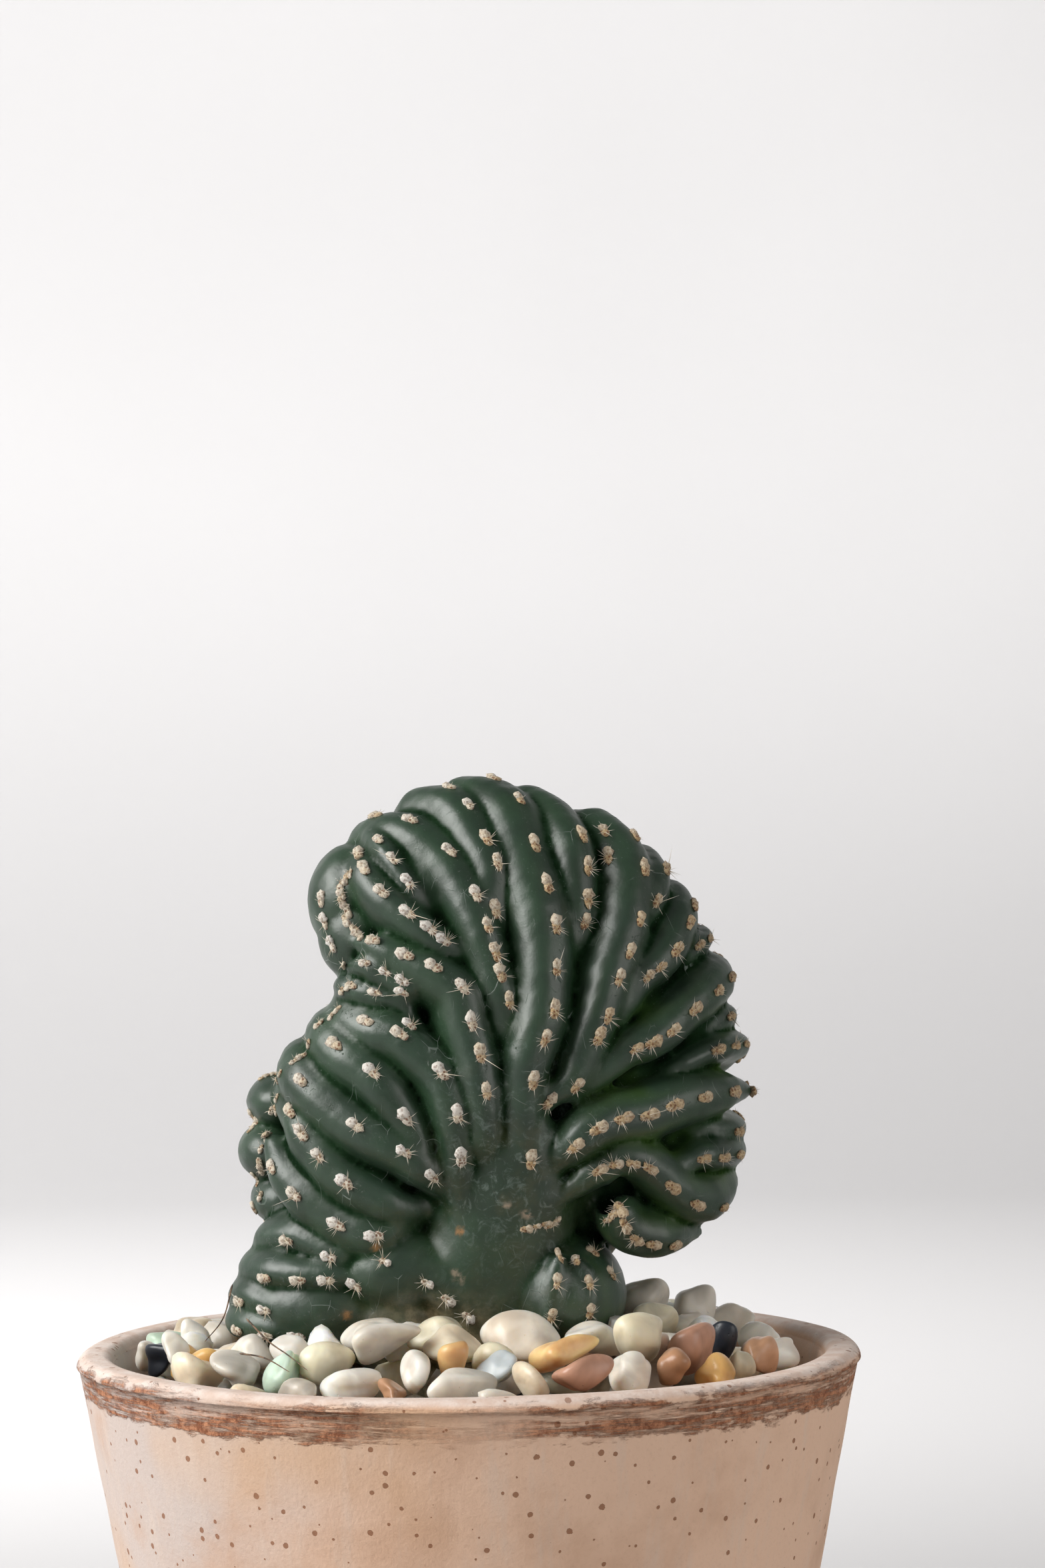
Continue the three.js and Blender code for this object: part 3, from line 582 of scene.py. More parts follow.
def make_pot():
    """The pot's outline turned about the axis, with the slight waves of a hand-finished surface:
    the radius gains a few low sine waves round the pot that change slowly with height."""
    radius, height = np.hsplit(pot_profile(), 2)
    rings, sides = len(radius), 288
    around = np.arange(sides) * 2 * math.pi / sides
    wave = 0.10 * np.sin(3 * around + 0.05 * height) + 0.06 * np.sin(7 * around - 0.09 * height + 1)
    wave = wave + 0.05 * np.sin(17 * around + 0.4 * height)
    waved = radius + wave * (radius > DRAIN_RADIUS + 1) - 0.1
    dip = (0.12 * np.sin(5 * around + 2) - 0.12) * (height > POT_HEIGHT - LIP_ROUND)
    mesh = new_mesh("clay_pot", turned(waved, height + dip, sides), ring_quads(rings, sides, True))
    wall_middle = BASE_RADIUS - WALL / 2 + (RIM_RADIUS - BASE_RADIUS) * height / POT_HEIGHT
    point_values(mesh, "outside", (waved > wall_middle).astype(float).ravel())
    new_piece("clay_pot", mesh, pot_finish(), "whitewashed_clay", "pot")


# ---- soil

def soil_finish():
    """Dark gritty soil with paler crumbs."""
    f = Finish("potting_mix_grit")
    crumbs = f.cells(700)
    colour = f.mix(f.patches(400, 5, 0.7, 0.35, 0.7), (0.035, 0.022, 0.014), (0.12, 0.08, 0.05))
    colour = f.over(colour, (0.28, 0.22, 0.16), f.band(crumbs, 0.2, 0.1))
    f.set(Base_Color=colour, Roughness=0.95, Normal=f.bump(crumbs, 0.0006))
    return f.material


def finish_soil():
    """The frame's soil stays and gets its gritty finish."""
    soil = frame["nodes"]["potting_mix"]
    material = soil_finish()
    if soil.data.materials:
        soil.data.materials[0] = material
    else:
        soil.data.materials.append(material)


# ---- plant

def outward(places):
    """Direction out of the dome at places given from the foot."""
    return unit((places - DOME_MIDDLE) / DOME_HALF**2)


def rib_body(points, lean, width, depth=RIB_DEPTH, stations=44, sides=18):
    """A rounded rib under its ridge line. Each section is an egg shape with full shoulders, narrower
    at its top, which lies on the ridge, and is turned about the ridge by the lean. The sections
    shrink towards both ends as the root of a sine's half wave, and the base sinks smoothly into the
    body."""
    ridge = smooth_path(points, stations + 2)
    tangent = unit(np.gradient(ridge, axis=0))
    up = outward(ridge)
    up = unit(up - np.sum(up * tangent, axis=1, keepdims=True) * tangent)
    side = np.cross(tangent, up)
    toward_right = np.where(side[:, :1] > 0, 1.0, -1.0)
    turn = math.radians(lean)
    up, side = (up * math.cos(turn) + side * toward_right * math.sin(turn),
                side * math.cos(turn) - up * toward_right * math.sin(turn))
    share = np.linspace(0, 1, stations + 2)
    near_base = np.clip(1 - share / BASE_SINK_SHARE, 0, 1)
    ridge = ridge - up * (BASE_SINK * near_base**2 * (3 - 2 * near_base))[:, None]
    fullness = np.sqrt(np.sin(math.pi * share[1:-1]))[:, None, None]
    around = np.arange(sides) * 2 * math.pi / sides
    cosine, sine = np.cos(around), np.sin(around)
    across = width * np.sign(cosine) * np.abs(cosine) ** 0.78 * (1 - 0.10 * sine)
    rise = depth * np.sign(sine) * np.abs(sine) ** 0.86
    middle = ridge[1:-1, None, :] - up[1:-1, None, :] * depth * fullness
    section = side[1:-1, None, :] * across[None, :, None] + up[1:-1, None, :] * rise[None, :, None]
    body = middle + section * fullness
    rings = np.vstack([ridge[:1], body.reshape(-1, 3), ridge[-1:]])
    return rings, tube_faces(stations, sides)


def core_body(middle, half, sides=36, rings=24):
    """An ellipsoid behind the ribs: the unit sphere's rings by polar angle, times the half sizes."""
    polar = np.linspace(0, math.pi, rings + 2)[1:-1, None]
    points = np.vstack([[0, 0, -1], turned(np.sin(polar), -np.cos(polar), sides), [0, 0, 1]])
    return points * np.array(half, dtype=float) + np.array(middle, dtype=float), tube_faces(rings, sides)


def stem_body(low=-ROOT_LENGTH, high=4.0, end=4.0, sides=40):
    """The rooted stem: a round post whose two ends close over a quarter round."""
    lower = np.radians(np.linspace(10, 90, 6))[:, None]
    upper = np.radians(np.linspace(0, 80, 6))[:, None]
    heights = np.vstack([low + end - end * np.cos(lower), high - end + end * np.sin(upper)])
    radii = STEM_RADIUS - end + end * np.vstack([np.sin(lower), np.cos(upper)])
    rings = turned(radii, heights, sides)
    return np.vstack([[0, 0, low], rings, [0, 0, high]]), tube_faces(len(radii), sides)


def over_the_back(points):
    """A ridge line carried on over the crest: from its tip it runs straight to the focus in the
    front view and bulges backwards with the dome."""
    shares = np.array([0.07, 0.13, 0.2, 0.3, 0.42, 0.55, 0.75, 0.92])[:, None]
    places = np.array(points[-1]) * (1 - shares) + BACK_FOCUS * shares
    across = (places - DOME_MIDDLE) / DOME_HALF
    inside = np.maximum(0.04, 1 - across[:, 0] ** 2 - across[:, 2] ** 2)
    rise = np.sin(math.pi / 2 * np.minimum(1, shares[:, 0] / BULGE_SHARE))
    places[:, 1] = BACK_BULGE * rise * np.sqrt(inside)
    return list(points) + [tuple(place) for place in places]


def plant_ribs():
    """The front ribs, with those that reach the crest carried on over the back; the side lobe's
    ribs, bare for four points, wrap round it and stay as they are. Each row: lean, half width, bare
    points at the base, first point past the crest, the points."""
    rows = []
    for lean, width, bare_base, bare_tip, points in FRONT_RIBS:
        _, back, up = points[-1]
        over = 0 < bare_tip < 4 and back > -15 and up > 24
        line = over_the_back(points) if over else points
        rows.append((lean, width, bare_base, len(points) - bare_tip, line))
    return rows


def crest_roll():
    """Ridge line of the young tissue that joins the front and back ribs along the crest."""
    line = [DOME_MIDDLE + (np.array([x, 0.0, z]) - DOME_MIDDLE) * 0.87 for x, z in CREST_OUTLINE]
    return rib_body(line, 0, 7, 6, 120)


def smoothed(points, edges, rounds, share):
    """Moves each point a share of the way to the mean of its neighbours, a number of times."""
    count = np.bincount(edges.ravel(), minlength=len(points))[:, None]
    for _ in range(rounds):
        total = np.zeros_like(points)
        for axis in range(3):
            total[:, axis] = (
                np.bincount(edges[:, 0], points[edges[:, 1], axis], len(points))
                + np.bincount(edges[:, 1], points[edges[:, 0], axis], len(points)))
        points = points + share * (total / np.maximum(count, 1) - points)
    return points


def ripple(points, wave, phase):
    """A smooth uneven field: the sum of sines along three slanted directions."""
    slants = np.array([[1.0, 0.6, 0.3], [-0.5, 1.0, 0.7], [0.4, -0.8, 1.0]])
    return sum(np.sin(points @ slant * 2 * math.pi / wave + phase * (k + 1))
               for k, slant in enumerate(slants)) / 3


def skin_finish():
    """Waxy cactus skin: dark olive green under a thin grey bloom, with painted shade that makes the
    folds nearly black, fresher green on the flanks at the right, scuffs and fine scratches on the
    ridges, a corky base, brown stains, sores and pale marks."""
    f = Finish("cactus_skin")
    hollow, fan = f.values("hollow"), f.values("fan")
    colour = f.mix(f.patches(110, 5, 0.6, 0.35, 0.7), (0.010, 0.029, 0.012), (0.021, 0.053, 0.023))
    fresh = f.times(f.values("fresh"), f.patches(60, 3, 0.5, 0.35, 0.65))
    colour = f.over(colour, (0.045, 0.098, 0.016), fresh, 0.85)
    bloom = f.times(f.band(hollow, 0.2, -0.3), f.patches(45, 4, 0.55, 0.2, 0.75))
    colour = f.over(colour, (0.055, 0.100, 0.078), bloom, 0.25)
    # painted shade: the hollows of the folds are darkened nearly to black
    colour = f.over(colour, (0.003, 0.007, 0.003), f.band(hollow, 0.12, 0.75))
    scuffed = f.times(f.patches(700, 6, 0.75, 0.58, 0.74, distortion=1.5),
                      f.band(f.values("ridge"), 0.25, 0.9))
    colour = f.over(colour, (0.26, 0.30, 0.26), scuffed, 0.5)
    scratch = f.cells(260, "DISTANCE_TO_EDGE", stretch=(1.0, 0.6, 0.45))
    lines = f.times(f.band(scratch, 0.012, 0.004), f.patches(150, 2, 0.5, 0.56, 0.7))
    colour = f.over(colour, (0.30, 0.36, 0.32), lines, 0.5)
    wisps = f.times(fan, f.patches(380, 5, 0.7, 0.5, 0.7, distortion=2.0))
    colour = f.over(colour, (0.20, 0.26, 0.23), wisps, 0.75)
    dots = f.times(f.band(f.cells(1500), 0.22, 0.1), f.patches(220, 2, 0.5, 0.5, 0.7))
    colour = f.over(colour, (0.22, 0.28, 0.24), dots, 0.25)
    bark = f.mix(f.patches(420, 5, 0.7, 0.35, 0.65), (0.10, 0.085, 0.040), (0.30, 0.24, 0.14))
    colour = f.over(colour, bark, f.values("corky"))
    colour = f.over(colour, (0.085, 0.080, 0.030), fan, f.patches(130, 4, 0.6, 0.48, 0.66), 0.45)
    colour = f.over(colour, (0.42, 0.20, 0.06), f.values("scar"), f.patches(700, 4, 0.7, 0.3, 0.5))
    pale = f.times(f.values("blemish"), f.patches(900, 4, 0.7, 0.35, 0.55))
    colour = f.over(colour, (0.42, 0.33, 0.24), pale)
    fine = f.bump(f.noise(1500, 3, 0.5), 0.00003)
    worn = f.bump(f.maths("ADD", scuffed, lines), 0.00008, Normal=fine)
    f.set(Base_Color=colour, Roughness=f.maths("MULTIPLY_ADD", f.noise(70, 3, 0.5), 0.12, 0.34),
          Specular_IOR_Level=f.times(f.band(hollow, 0.4, 0.0), 0.75), Sheen_Weight=0.02,
          Sheen_Roughness=0.4, Sheen_Tint=(0.80, 0.90, 1.0),
          Normal=f.bump(f.noise(150, 2, 0.4), 0.00012, Normal=worn))
    return f.material


def spots(foot, places, reach):
    """1 on the plant's front at each place (right, up), falling to 0 a little past the reach."""
    value = np.zeros(len(foot))
    for place in places:
        far = np.linalg.norm(foot[:, [0, 2]] - np.array(place), axis=1)
        value = np.maximum(value, np.clip((1.5 * reach - far) / (0.8 * reach), 0, 1))
    return value * (foot[:, 1] < -10)


def one_skin(bodies):
    """Bodies made one closed skin by a voxel remesh. Gives its mesh and its edges."""
    points, faces = joined(bodies)
    rough = new_object("rough_plant", new_mesh("rough_plant", points + UP * POT_HEIGHT, faces))
    remesh = rough.modifiers.new("one_skin", "REMESH")
    remesh.mode = "VOXEL"
    remesh.voxel_size = SKIN_VOXEL * MM
    depsgraph = bpy.context.evaluated_depsgraph_get()
    mesh = bpy.data.meshes.new_from_object(rough.evaluated_get(depsgraph))
    bpy.data.objects.remove(rough)
    mesh.name = "cactus_body"
    edges = np.empty(len(mesh.edges) * 2, dtype=np.int32)
    mesh.edges.foreach_get("vertices", edges)
    return mesh, edges.reshape(-1, 2)


def ridge_distance(rows, foot):
    """How far each place is from the nearest ridge line."""
    ridge_points = np.vstack([smooth_path(row[-1], 90) for row in rows])
    tree = KDTree(len(ridge_points))
    for index, place in enumerate(ridge_points):
        tree.insert(place, index)
    tree.balance()
    return np.array([tree.find(place)[2] for place in foot])


def skin_values(foot, near, hollow):
    """What the finish reads at each point: how hollow, how near a ridge, how fresh its green is,
    how near the trunk's fan, and its sores, pale marks and cork. Bells and ramps of the place."""
    flank = np.clip((foot[:, 0] - 12) / 18, 0, 1) * np.clip((72 - foot[:, 2]) / 14, 0, 1)
    from_fan = np.linalg.norm((foot - FAN_MIDDLE) / FAN_REACH, axis=1)
    base = np.clip((13 - foot[:, 2]) / 9, 0, 1) * np.exp(-(((foot[:, 0] + 6) / 11) ** 2))
    ragged = 0.5 + 0.5 * ripple(foot, 5, 2.2)
    return {
        "hollow": np.clip(hollow * 1.2, -1, 1),
        "ridge": np.exp(-((near / 1.3) ** 2)),
        "fresh": flank * np.clip(1.1 - np.exp(-((near / 3.2) ** 2)) * 1.4, 0, 1),
        "fan": np.clip(1.25 - from_fan, 0, 1) * (0.5 + 0.5 * np.exp(-((near / 2.4) ** 2))),
        "scar": 0.8 * spots(foot, SORES, 0.6),
        "blemish": np.maximum(0.8 * spots(foot, PALE_MARKS, 0.5), 0.6 * spots(foot, SCRAPE, 0.5)),
        "corky": np.clip(base * (0.7 + ragged), 0, 1) * (foot[:, 1] < 0),
    }


def make_plant():
    """All ribs, folds and cores made one skin and eased, most of all at the trunk, then moved in or
    out a little by an uneven field. A point is hollow as far as its eased place lies outside it."""
    rows = plant_ribs()
    bodies = [rib_body(points, lean, width) for lean, width, _, _, points in rows]
    bodies += [rib_body(points, lean, width, 3) for lean, width, _, _, points in TRUNK_FOLDS]
    bodies += [core_body(middle, half) for middle, half in CORES]
    bodies += [rib_body(TRUNK_LINE, 0, TRUNK_HALF_WIDTH, TRUNK_DEPTH, sides=36)]
    bodies += [crest_roll(), stem_body()]
    mesh, edges = one_skin(bodies)
    points = smoothed(mesh_points(mesh), edges, FIRST_ROUNDS, 0.5)
    foot = points - UP * POT_HEIGHT
    from_trunk = np.linalg.norm((foot - TRUNK_MIDDLE) / TRUNK_REACH, axis=1)
    eased = smoothed(points, edges, TRUNK_ROUNDS, 0.6)
    points = points + np.clip(1.5 - 1.5 * from_trunk, 0, 1)[:, None] * (eased - points)
    move_points(mesh, points)
    normals = mesh_normals(mesh)
    even = smoothed(points, edges, HOLLOW_ROUNDS, 0.6)
    hollow = np.sum((even - points) * normals, axis=1)
    swell = 0.10 * ripple(foot, 9, 1.3) + 0.05 * ripple(foot, 3.7, 0.4)
    move_points(mesh, points + normals * swell[:, None])
    for name, values in skin_values(foot, ridge_distance(rows, foot), hollow).items():
        point_values(mesh, name, values)
    mesh.shade_smooth()
    return new_piece("cactus_body", mesh, skin_finish(), "cactus_skin", "cactus")


def skin_tree(plant):
    """The plant's faces, ready to be asked for the nearest place on its skin."""
    return BVHTree.FromPolygons(
        [tuple(place) for place in mesh_points(plant.data)],
        [tuple(polygon.vertices) for polygon in plant.data.polygons])


# ---- areoles and spines

def wool_finish():
    """Felted wool, tan, cream or white by its tone, with brown spine stubs in it."""
    f = Finish("areole_wool")
    tone = f.values("tone")
    felt = f.patches(1400, 4, 0.7, 0.35, 0.7)
    cream = f.mix(felt, (0.62, 0.52, 0.38), (0.86, 0.79, 0.66))
    tan = f.mix(felt, (0.45, 0.30, 0.15), (0.74, 0.58, 0.36))
    colour = f.mix(f.band(tone, 0.0, 0.5), tan, cream)
    colour = f.over(colour, (0.86, 0.82, 0.76), f.band(tone, 0.5, 1.0))
    stubs = f.times(f.band(f.cells(1700), 0.48, 0.30), f.values("heart"))
    colour = f.over(colour, (0.20, 0.08, 0.035), stubs, 0.85)
    f.set(Base_Color=colour, Roughness=0.95, Sheen_Weight=0.3, Specular_IOR_Level=0.15,
          Normal=f.bump(f.noise(2600, 4, 0.7), 0.0003))
    return f.material


def spine_finish():
    """Horn-like spines, chalk white with a straw base."""
    f = Finish("spine_horn")
    colour = f.mix(f.values("tip"), (0.62, 0.48, 0.30), (0.88, 0.85, 0.78))
    colour = f.over(colour, (0.80, 0.74, 0.62), f.patches(900, 2, 0.5, 0.4, 0.7))
    f.set(Base_Color=colour, Roughness=0.5)
    return f.material


def areole_places():
    """Places and directions of all areoles, from the foot: along the ribs, crowded on the growth
    lines, and small and close along the crest. Each has a size and an age."""
    random = np.random.default_rng(7)
    places = []
    for _, width, bare_base, past_crest, line in plant_ribs():
        knots = headed(line)
        steps = np.linalg.norm(np.diff(line, axis=0), axis=1)
        for k in range(bare_base, past_crest):
            age = 1 - (k - bare_base) / max(1, past_crest - bare_base)
            room = min(1.0, 0.35 + width / 7.5, steps[max(0, k - 1):k + 1].min() / 3.9)
            places.append((*knots[k], random.uniform(0.92, 1.15) * room, age))
        if len(line) - past_crest > 4:
            for k, (place, direction) in enumerate(headed(smooth_path(line[past_crest:], 9))[1:8], 1):
                shift = direction * random.uniform(-0.8, 0.8)
                places.append((place + shift, direction, random.uniform(0.85, 1.1), k / 8))
    for *_, line in TRUNK_FOLDS:
        places += [(*knot, random.uniform(0.7, 0.9), 0.7) for knot in headed(line)]
    for line in GROWTH_LINES:
        for place, direction in headed(smooth_path(line, 2 * len(line) + 2)):
            shift = random.normal(0, 0.5, 3)
            places.append((place + shift, direction, random.uniform(0.5, 0.8), 0.12))
    crest = smooth_path([(x, 1.0, z) for x, z in CREST_OUTLINE], 90)
    for place, direction in headed(crest + (crest - DOME_MIDDLE) * 0.01):
        shift = random.normal(0, 0.35, 3)
        places.append((place + shift, direction, random.uniform(0.45, 0.75), 0.05))
    return places


def areole_lumps(seat, axes, size, whiteness_with_painted_light, random):
    """Two overlapping lumps of wool along the ridge, the larger one paler: balls whose points are
    jittered. Each with its faces, tone and heart, which is how many spine stubs it shows."""
    ball, faces = ball_mesh(1)
    lumps = []
    for shift, half, tone, heart in (
            (0.50, (0.98, 1.12, 0.62), whiteness_with_painted_light + 0.15, 0.55),
            (-0.68, (0.80, 1.15, 0.46), whiteness_with_painted_light - 0.15, 1.0)):
        shape = (ball + random.normal(0, 0.12, ball.shape)) * np.array(half) * size
        points = seat + axes[1] * shift * size + axes[2] * 0.12 * size + shape @ axes
        tones = np.full(len(ball), tone + random.uniform(-0.1, 0.1))
        lumps.append((points, faces, tones, np.full(len(ball), heart)))
    return lumps


def spine_cone():
    """A slim spine of length one: three sides, slightly bellied at six tenths of its length."""
    turns = (0, 2.1, 4.2)
    points = np.array([(math.cos(a), math.sin(a), 0) for a in turns]
                      + [(0.55 * math.cos(a), 0.55 * math.sin(a), 0.6) for a in turns] + [(0, 0, 1)])
    faces = np.array([(0, 2, 1), (0, 1, 4), (0, 4, 3), (1, 2, 5), (1, 5, 4), (2, 0, 3),
                      (2, 3, 5), (3, 4, 6), (4, 5, 6), (5, 3, 6)])
    return points, faces


def areole_spines(seat, axes, size, age, random):
    """Spines that lean out all round an areole, more and longer with age, and now and then one very
    long one on an old areole."""
    across, along, normal = axes
    cone, faces = spine_cone()
    count, longest = (3, 0.8) if age < 0.1 else (6, 1.4) if age < 0.45 else (11, 2.4)
    spines = []
    for k in range(count):
        turn = random.uniform(0, 2 * math.pi)
        tilt = random.uniform(0.15, 0.8)
        direction = unit(across * math.cos(turn) + along * math.sin(turn) + normal * tilt)
        length = longest * random.uniform(0.55, 1.0)
        if age > 0.45 and k == 0 and random.random() < 0.14:
            length = random.uniform(3.4, 5.0)
        thick = 0.042 + 0.012 * length
        a = unit(np.cross(direction, normal + 0.1 * along))
        b = np.cross(direction, a)
        root = seat - along * 0.7 * size + normal * 0.25 + direction * 0.35 * size
        spines.append((root + cone @ np.stack([a * thick, b * thick, direction * length]), faces))
    return spines


def make_areoles(skin):
    """Woolly cushions of overlapping lumps, and their spines, seated on the plant's skin."""
    random = np.random.default_rng(21)
    lumps, spines = [], []
    for place, tangent, size, age in areole_places():
        found, normal, _, distance = skin.find_nearest(Vector(place + UP * POT_HEIGHT))
        if distance > 6:
            continue
        seat, normal = np.array(found), unit(np.array(normal))
        along = unit(tangent - normal * (tangent @ normal))
        axes = np.stack([np.cross(normal, along), along, normal])
        # whiter with age, plus painted light: whiter on the lit left of the plant and darker towards the
        # shaded right
        whiteness_with_painted_light = 0.35 + 0.5 * age * (seat[0] < 2) - 0.010 * max(0.0, seat[0])
        lumps += areole_lumps(seat, axes, size, whiteness_with_painted_light, random)
        spines += areole_spines(seat, axes, size, age, random)
    mesh = new_mesh("areole_wool", *joined([lump[:2] for lump in lumps]))
    point_values(mesh, "tone", np.clip(np.concatenate([lump[2] for lump in lumps]), 0, 1))
    point_values(mesh, "heart", np.concatenate([lump[3] for lump in lumps]))
    new_piece("areole_wool", mesh, wool_finish(), "cactus_skin")
    mesh = new_mesh("spines", *joined(spines))
    point_values(mesh, "tip", np.tile(spine_cone()[0][:, 2], len(spines)))
    new_piece("spines", mesh, spine_finish(), "cactus_skin")


# ---- pebbles

def stone_finish(name, tint):
    """Polished, slightly clear stone: soft clouds, a paler or darker tone from stone to stone and
    a few tiny pits."""
    f = Finish(name)
    tint = np.array(tint)
    pale = tuple(np.minimum(1, tint * 1.15 + 0.02))
    cloud = f.patches(130, 3, 0.5, 0.32, 0.68, distortion=0.6)
    colour = f.mix(cloud, tuple(tint * 0.74), pale)
    colour = f.over(colour, tuple(tint * (1.0, 0.80, 0.58)), f.patches(55, 2, 0.5, 0.52, 0.72), 0.35)
    tone = f.mix(f.values("shade"), (0.66, 0.62, 0.58), (1.12, 1.12, 1.12))
    pits = f.band(f.cells(500), 0.09, 0.05)
    clear = name not in ("stone_black", "stone_tan", "stone_pink")
    f.set(Base_Color=f.mix(1.0, colour, tone, "MULTIPLY"), Roughness=0.34, Specular_IOR_Level=0.5,
          Subsurface_Weight=0.8 if clear else 0.0, Subsurface_Radius=(1.0, 0.8, 0.6),
          Subsurface_Scale=0.003,
          Normal=f.bump(f.maths("SUBTRACT", f.noise(420, 3, 0.5), pits), 0.0001))
    return f.material


def stone_shape(ball, random):
    """A tumbled stone: in each direction the radius is where a set of random flat sides with very
    soft corners would be, from a power mean of the sides' nearness, with two low swells, then
    fitted to unit half sizes."""
    sides = 9
    normals = unit(random.normal(size=(sides, 3)))
    reach = random.uniform(0.78, 1.1, sides)
    facing = np.maximum(0, ball @ normals.T) / reach
    rounding = 4.2
    near = np.sum(facing**rounding, axis=1) + 0.55**rounding
    radius = near ** (-1 / rounding)
    swell = ball @ unit(random.normal(size=(2, 3))).T
    radius = radius * (1 + 0.10 * np.sin(3.2 * swell[:, 0] + 1) + 0.07 * np.sin(4.6 * swell[:, 1]))
    shape = ball * radius[:, None]
    low, high = shape.min(axis=0), shape.max(axis=0)
    return (shape - (low + high) / 2) / ((high - low) / 2)


def loose_stones():
    """Names of the frame's loose stones."""
    return sorted(name for name in frame["nodes"] if name.startswith("pebble_") and name != "pebble_bed")


def make_stones(materials):
    """Each loose stone of the frame as a tumbled stone of the same length, width, height and
    place, found from the spread of the frame stone's points."""
    random = np.random.default_rng(5)
    ball, faces = ball_mesh(4)
    slots = {row["node"]: row["material_slot"] for row in frame["record"]["subparts"]}
    for name in loose_stones():
        points = np.unique(np.round(mesh_points(frame["nodes"][name].data), 3), axis=0)
        middle = points.mean(axis=0)
        _, axes = np.linalg.eigh(np.cov((points - middle).T))
        if np.linalg.det(axes) < 0:
            axes[:, 0] = -axes[:, 0]
        spread = (points - middle) @ axes
        low, high = spread.min(axis=0), spread.max(axis=0)
        shape = stone_shape(ball, random) * (high - low) / 2 * 1.03 + (high + low) / 2
        mesh = new_mesh(name + "_stone", middle + shape @ axes.T, faces)
        point_values(mesh, "shade", np.full(len(ball), random.uniform(0.35, 1.0)))
        slot = slots[name]
        new_piece(name + "_stone", mesh, materials[slot], slot, name)


def dropped_stones(skin, random):
    """Middles and radii of the lower and in-between pebbles. Each drops on to the highest of the
    stones under it, taken as balls, and the lowest of several tries that is clear of the plant and
    not too high is kept. The heap falls away towards the wall and at the right."""
    balls = []
    for name in loose_stones():
        low, high = (np.array(corner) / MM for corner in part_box(name))
        balls.append([*((low + high) / 2), float(np.mean((high - low) / 2)) * 0.95])
    fixed = len(balls)
    for _ in range(BED_DROPS):
        radius = random.uniform(3.2, 5.2)
        angle = random.uniform(0, 2 * math.pi, BED_TRIES)
        reach = np.sqrt(random.uniform(STEM_RADIUS**2, (BED_WALL - radius) ** 2, BED_TRIES))
        x, y = reach * np.cos(angle), reach * np.sin(angle)
        known = np.array(balls)
        flat = np.hypot(x[:, None] - known[:, 0], y[:, None] - known[:, 1])
        gap = (known[:, 3] + radius * 0.8) ** 2 - flat**2
        top = np.where(gap > 0, known[:, 2] + np.sqrt(np.maximum(gap, 0)), -1e9).max(axis=1)
        z = np.maximum(top, SOIL_TOP + radius * 0.6)
        limit = BED_TOP + 3.5 - 8.0 * np.maximum(0.0, (reach - 26) / (BED_WALL - 26))
        limit = limit - 7.0 * np.maximum(0.0, (x - 44) / 14)
        for k in np.argsort(z - 0.09 * (BED_WALL - reach))[:6]:
            distance = skin.find_nearest(Vector((x[k], y[k], z[k])))[3]
            if z[k] <= limit[k] and distance >= radius * 0.75:
                balls.append([x[k], y[k], z[k], radius])
                break
    return np.array(balls[fixed:])


def make_bed(skin, materials):
    """The lower and in-between pebbles, joined by finish. Points that would pass the wall are drawn
    in to it."""
    random = np.random.default_rng(17)
    groups = {}
    for index, (x, y, z, radius) in enumerate(dropped_stones(skin, random)):
        in_sight = y < -22 and z > BED_TOP - 9
        ball, faces = ball_mesh(2 if in_sight else 1)
        half = radius * np.array([random.uniform(1.0, 1.25), random.uniform(0.85, 1.05),
                                  random.uniform(0.75, 0.95)])
        spin = np.array(Matrix.Rotation(random.uniform(0, math.pi), 3, "Z")
                        @ Matrix.Rotation(random.uniform(-0.5, 0.5), 3, "X"))
        shape = stone_shape(ball, random) * half @ spin.T + np.array([x, y, z])
        shape[:, :2] /= np.maximum(np.hypot(shape[:, 0], shape[:, 1]) / BED_WALL, 1)[:, None]
        shade = np.full(len(shape), random.uniform(0.1, 1.0))
        groups.setdefault(BED_SLOTS[index % len(BED_SLOTS)], []).append((shape, faces, shade))
    for index, (slot, parts) in enumerate(sorted(groups.items())):
        mesh = new_mesh("bed_" + slot, *joined([part[:2] for part in parts]))
        point_values(mesh, "shade", np.concatenate([part[2] for part in parts]))
        piece = new_piece("bed_" + slot, mesh, materials[slot], slot)
        if index == 0:
            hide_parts("pebble_bed")


def fibre_finish():
    """Dry brown root."""
    f = Finish("dry_fibre")
    colour = f.mix(f.patches(700, 3, 0.6, 0.4, 0.6), (0.07, 0.045, 0.03), (0.24, 0.15, 0.09))
    f.set(Base_Color=colour, Roughness=0.7)
    return f.material


def make_fibres(rings=24, sides=6):
    """Thin dry roots that lie on the pebbles: round tubes along smooth lines that narrow to their
    tips as the root of the share left."""
    parts = []
    around = np.arange(sides) * 2 * math.pi / sides
    girth = 0.17 * np.sqrt(np.linspace(1, 0.15, rings))[:, None, None]
    for line in FIBRES:
        path = smooth_path([(x, y, z + POT_HEIGHT) for x, y, z in line], rings + 2)
        tangent = unit(np.gradient(path, axis=0))
        a = unit(np.cross(tangent, UP))
        b = np.cross(tangent, a)
        ring = (a[1:-1, None] * np.cos(around)[None, :, None]
                + b[1:-1, None] * np.sin(around)[None, :, None])
        body = path[1:-1, None] + ring * girth
        parts.append((np.vstack([path[:1], body.reshape(-1, 3), path[-1:]]), tube_faces(rings, sides)))
    mesh = new_mesh("dry_fibres", *joined(parts))
    new_piece("dry_fibres", mesh, fibre_finish(), "potting_mix")


# ---- stage, lights and camera

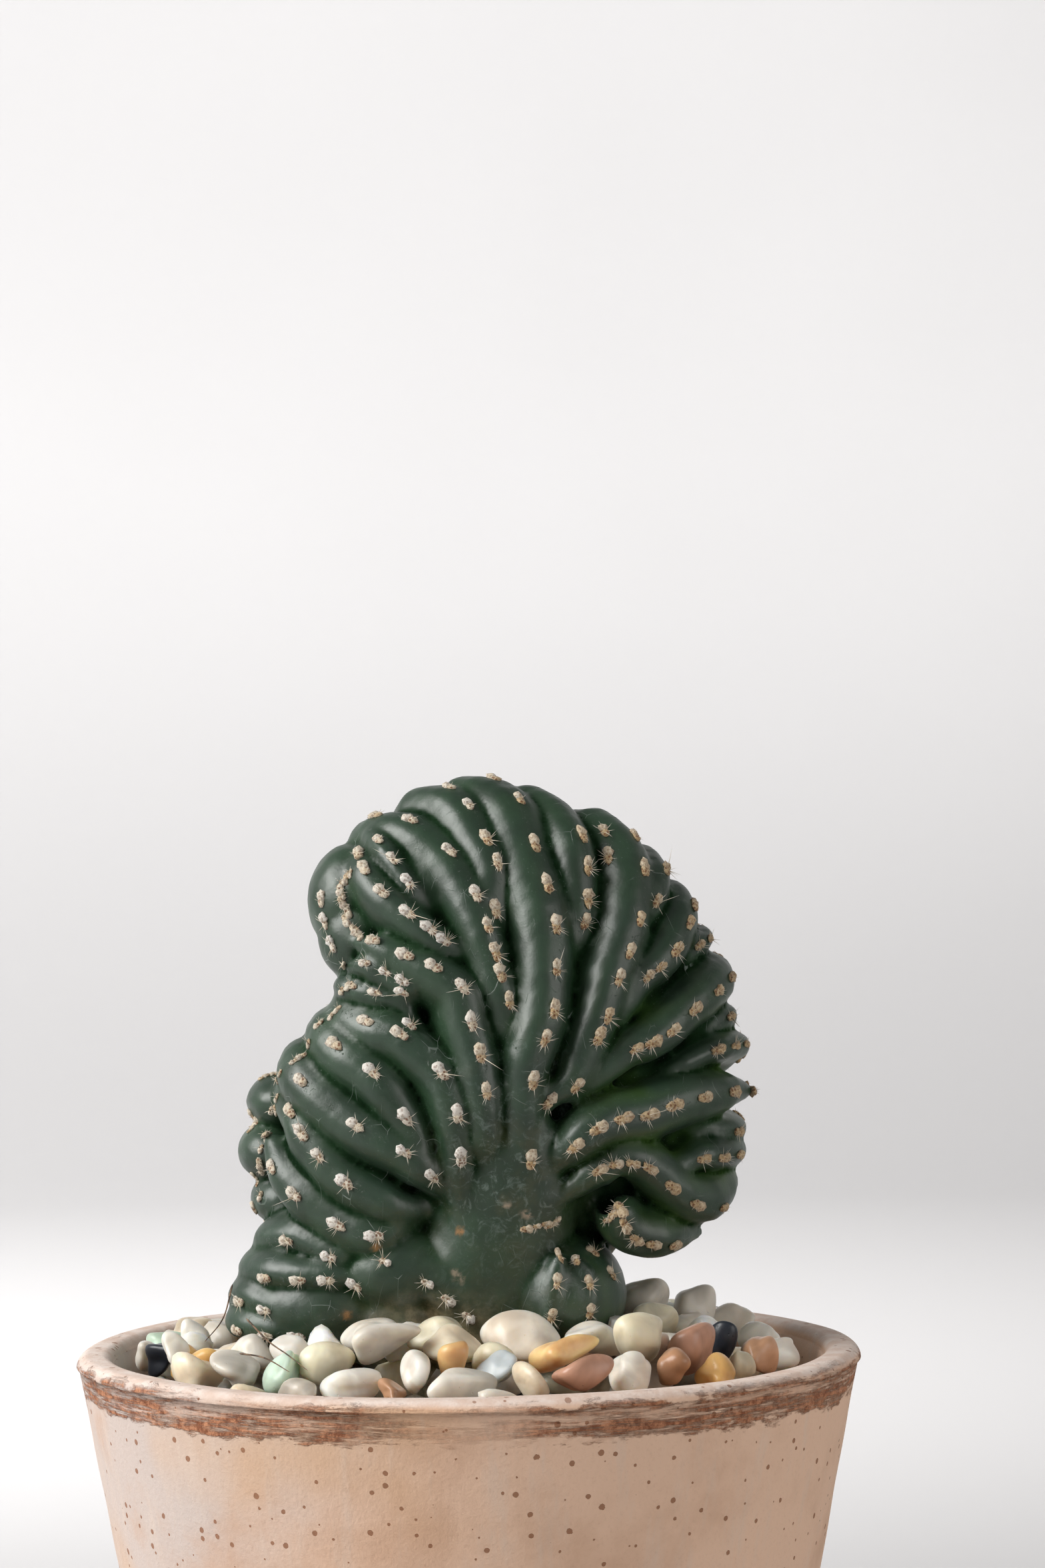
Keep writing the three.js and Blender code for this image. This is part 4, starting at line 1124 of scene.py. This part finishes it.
def stage_finish():
    """Pale plaster, greyer on the floor."""
    f = Finish("plaster")
    wall = f.mix(f.patches(1.3, 3, 0.5, 0.3, 0.7), (0.66, 0.655, 0.655), (0.70, 0.695, 0.695))
    colour = f.mix(f.band(f.axis("Z"), -0.05, 0.45), (0.47, 0.465, 0.465), wall)
    f.set(Base_Color=colour, Roughness=0.95, Specular_IOR_Level=0.1)
    return f.material


def make_stage(flat=1500, curve=900, rise=1600, sides=96):
    """A pale round floor that curves up all round into a wall: radius and height follow a flat
    run, then a quarter circle, then a straight rise."""
    quarter = np.radians(np.linspace(0, 90, 16))
    radii = np.concatenate([[20, flat * 0.5], flat + curve * np.sin(quarter), [flat + curve]])
    heights = np.concatenate([[0, 0], curve - curve * np.cos(quarter), [curve + rise]])
    points = turned(radii[:, None], heights[:, None], sides)
    faces = ring_quads(len(radii), sides, False)[:, ::-1]
    new_object("stage", new_mesh("stage", points, faces), stage_finish())


def area_light(name, place, target, size, power, colour):
    """A square soft light that looks at a target."""
    data = bpy.data.lights.new(name, "AREA")
    data.shape = "SQUARE"
    data.size = size
    data.energy = power
    data.color = colour
    light = bpy.data.objects.new(name, data)
    aim = Vector(target) - Vector(place)
    light.matrix_world = Matrix.Translation(place) @ aim.to_track_quat("-Z", "Y").to_matrix().to_4x4()
    bpy.context.scene.collection.objects.link(light)


def make_lights():
    """Soft daylight from a window at the left, a bright wall behind and a weak surround."""
    middle = (0, 0, 0.16)
    area_light("window", (-1.0, -0.34, 0.80), middle, 0.85, 20.0, (1.0, 0.99, 0.97))
    area_light("room", (1.1, -0.7, 0.35), middle, 1.0, 5.4, (1.0, 0.97, 0.94))
    area_light("wall_wash", (-0.35, 0.6, 1.0), (-0.35, 2.4, 0.15), 0.9, 31.0, (1.0, 0.99, 0.99))
    world = bpy.data.worlds.new("surround")
    world.use_nodes = True
    background = world.node_tree.nodes["Background"]
    background.inputs["Color"].default_value = (0.98, 0.985, 1.0, 1.0)
    background.inputs["Strength"].default_value = 0.18
    bpy.context.scene.world = world
    bpy.context.scene.view_settings.view_transform = "Standard"


def make_camera():
    """A long lens a little above the rim, turned and tipped by small angles."""
    data = bpy.data.cameras.new("camera")
    data.lens = 100
    data.sensor_width = 36
    data.clip_start = 0.05
    camera = bpy.data.objects.new("camera", data)
    turn, tip, roll = math.radians(-0.787), math.radians(-0.167), math.radians(-0.662)
    place = Vector((0, -779.9 * MM, (POT_HEIGHT + 102.5) * MM))
    camera.matrix_world = (Matrix.Translation(place)
                           @ Matrix.Rotation(turn, 4, "Z")
                           @ Matrix.Rotation(math.pi / 2 + tip, 4, "X")
                           @ Matrix.Rotation(roll, 4, "Z"))
    bpy.context.scene.collection.objects.link(camera)
    bpy.context.scene.camera = camera


make_camera()
make_lights()
make_stage()
make_pot()
finish_soil()
stone_materials = {name: stone_finish(name, tint) for name, tint in STONE_TINTS.items()}
skin = skin_tree(make_plant())
make_areoles(skin)
make_stones(stone_materials)
make_bed(skin, stone_materials)
make_fibres()
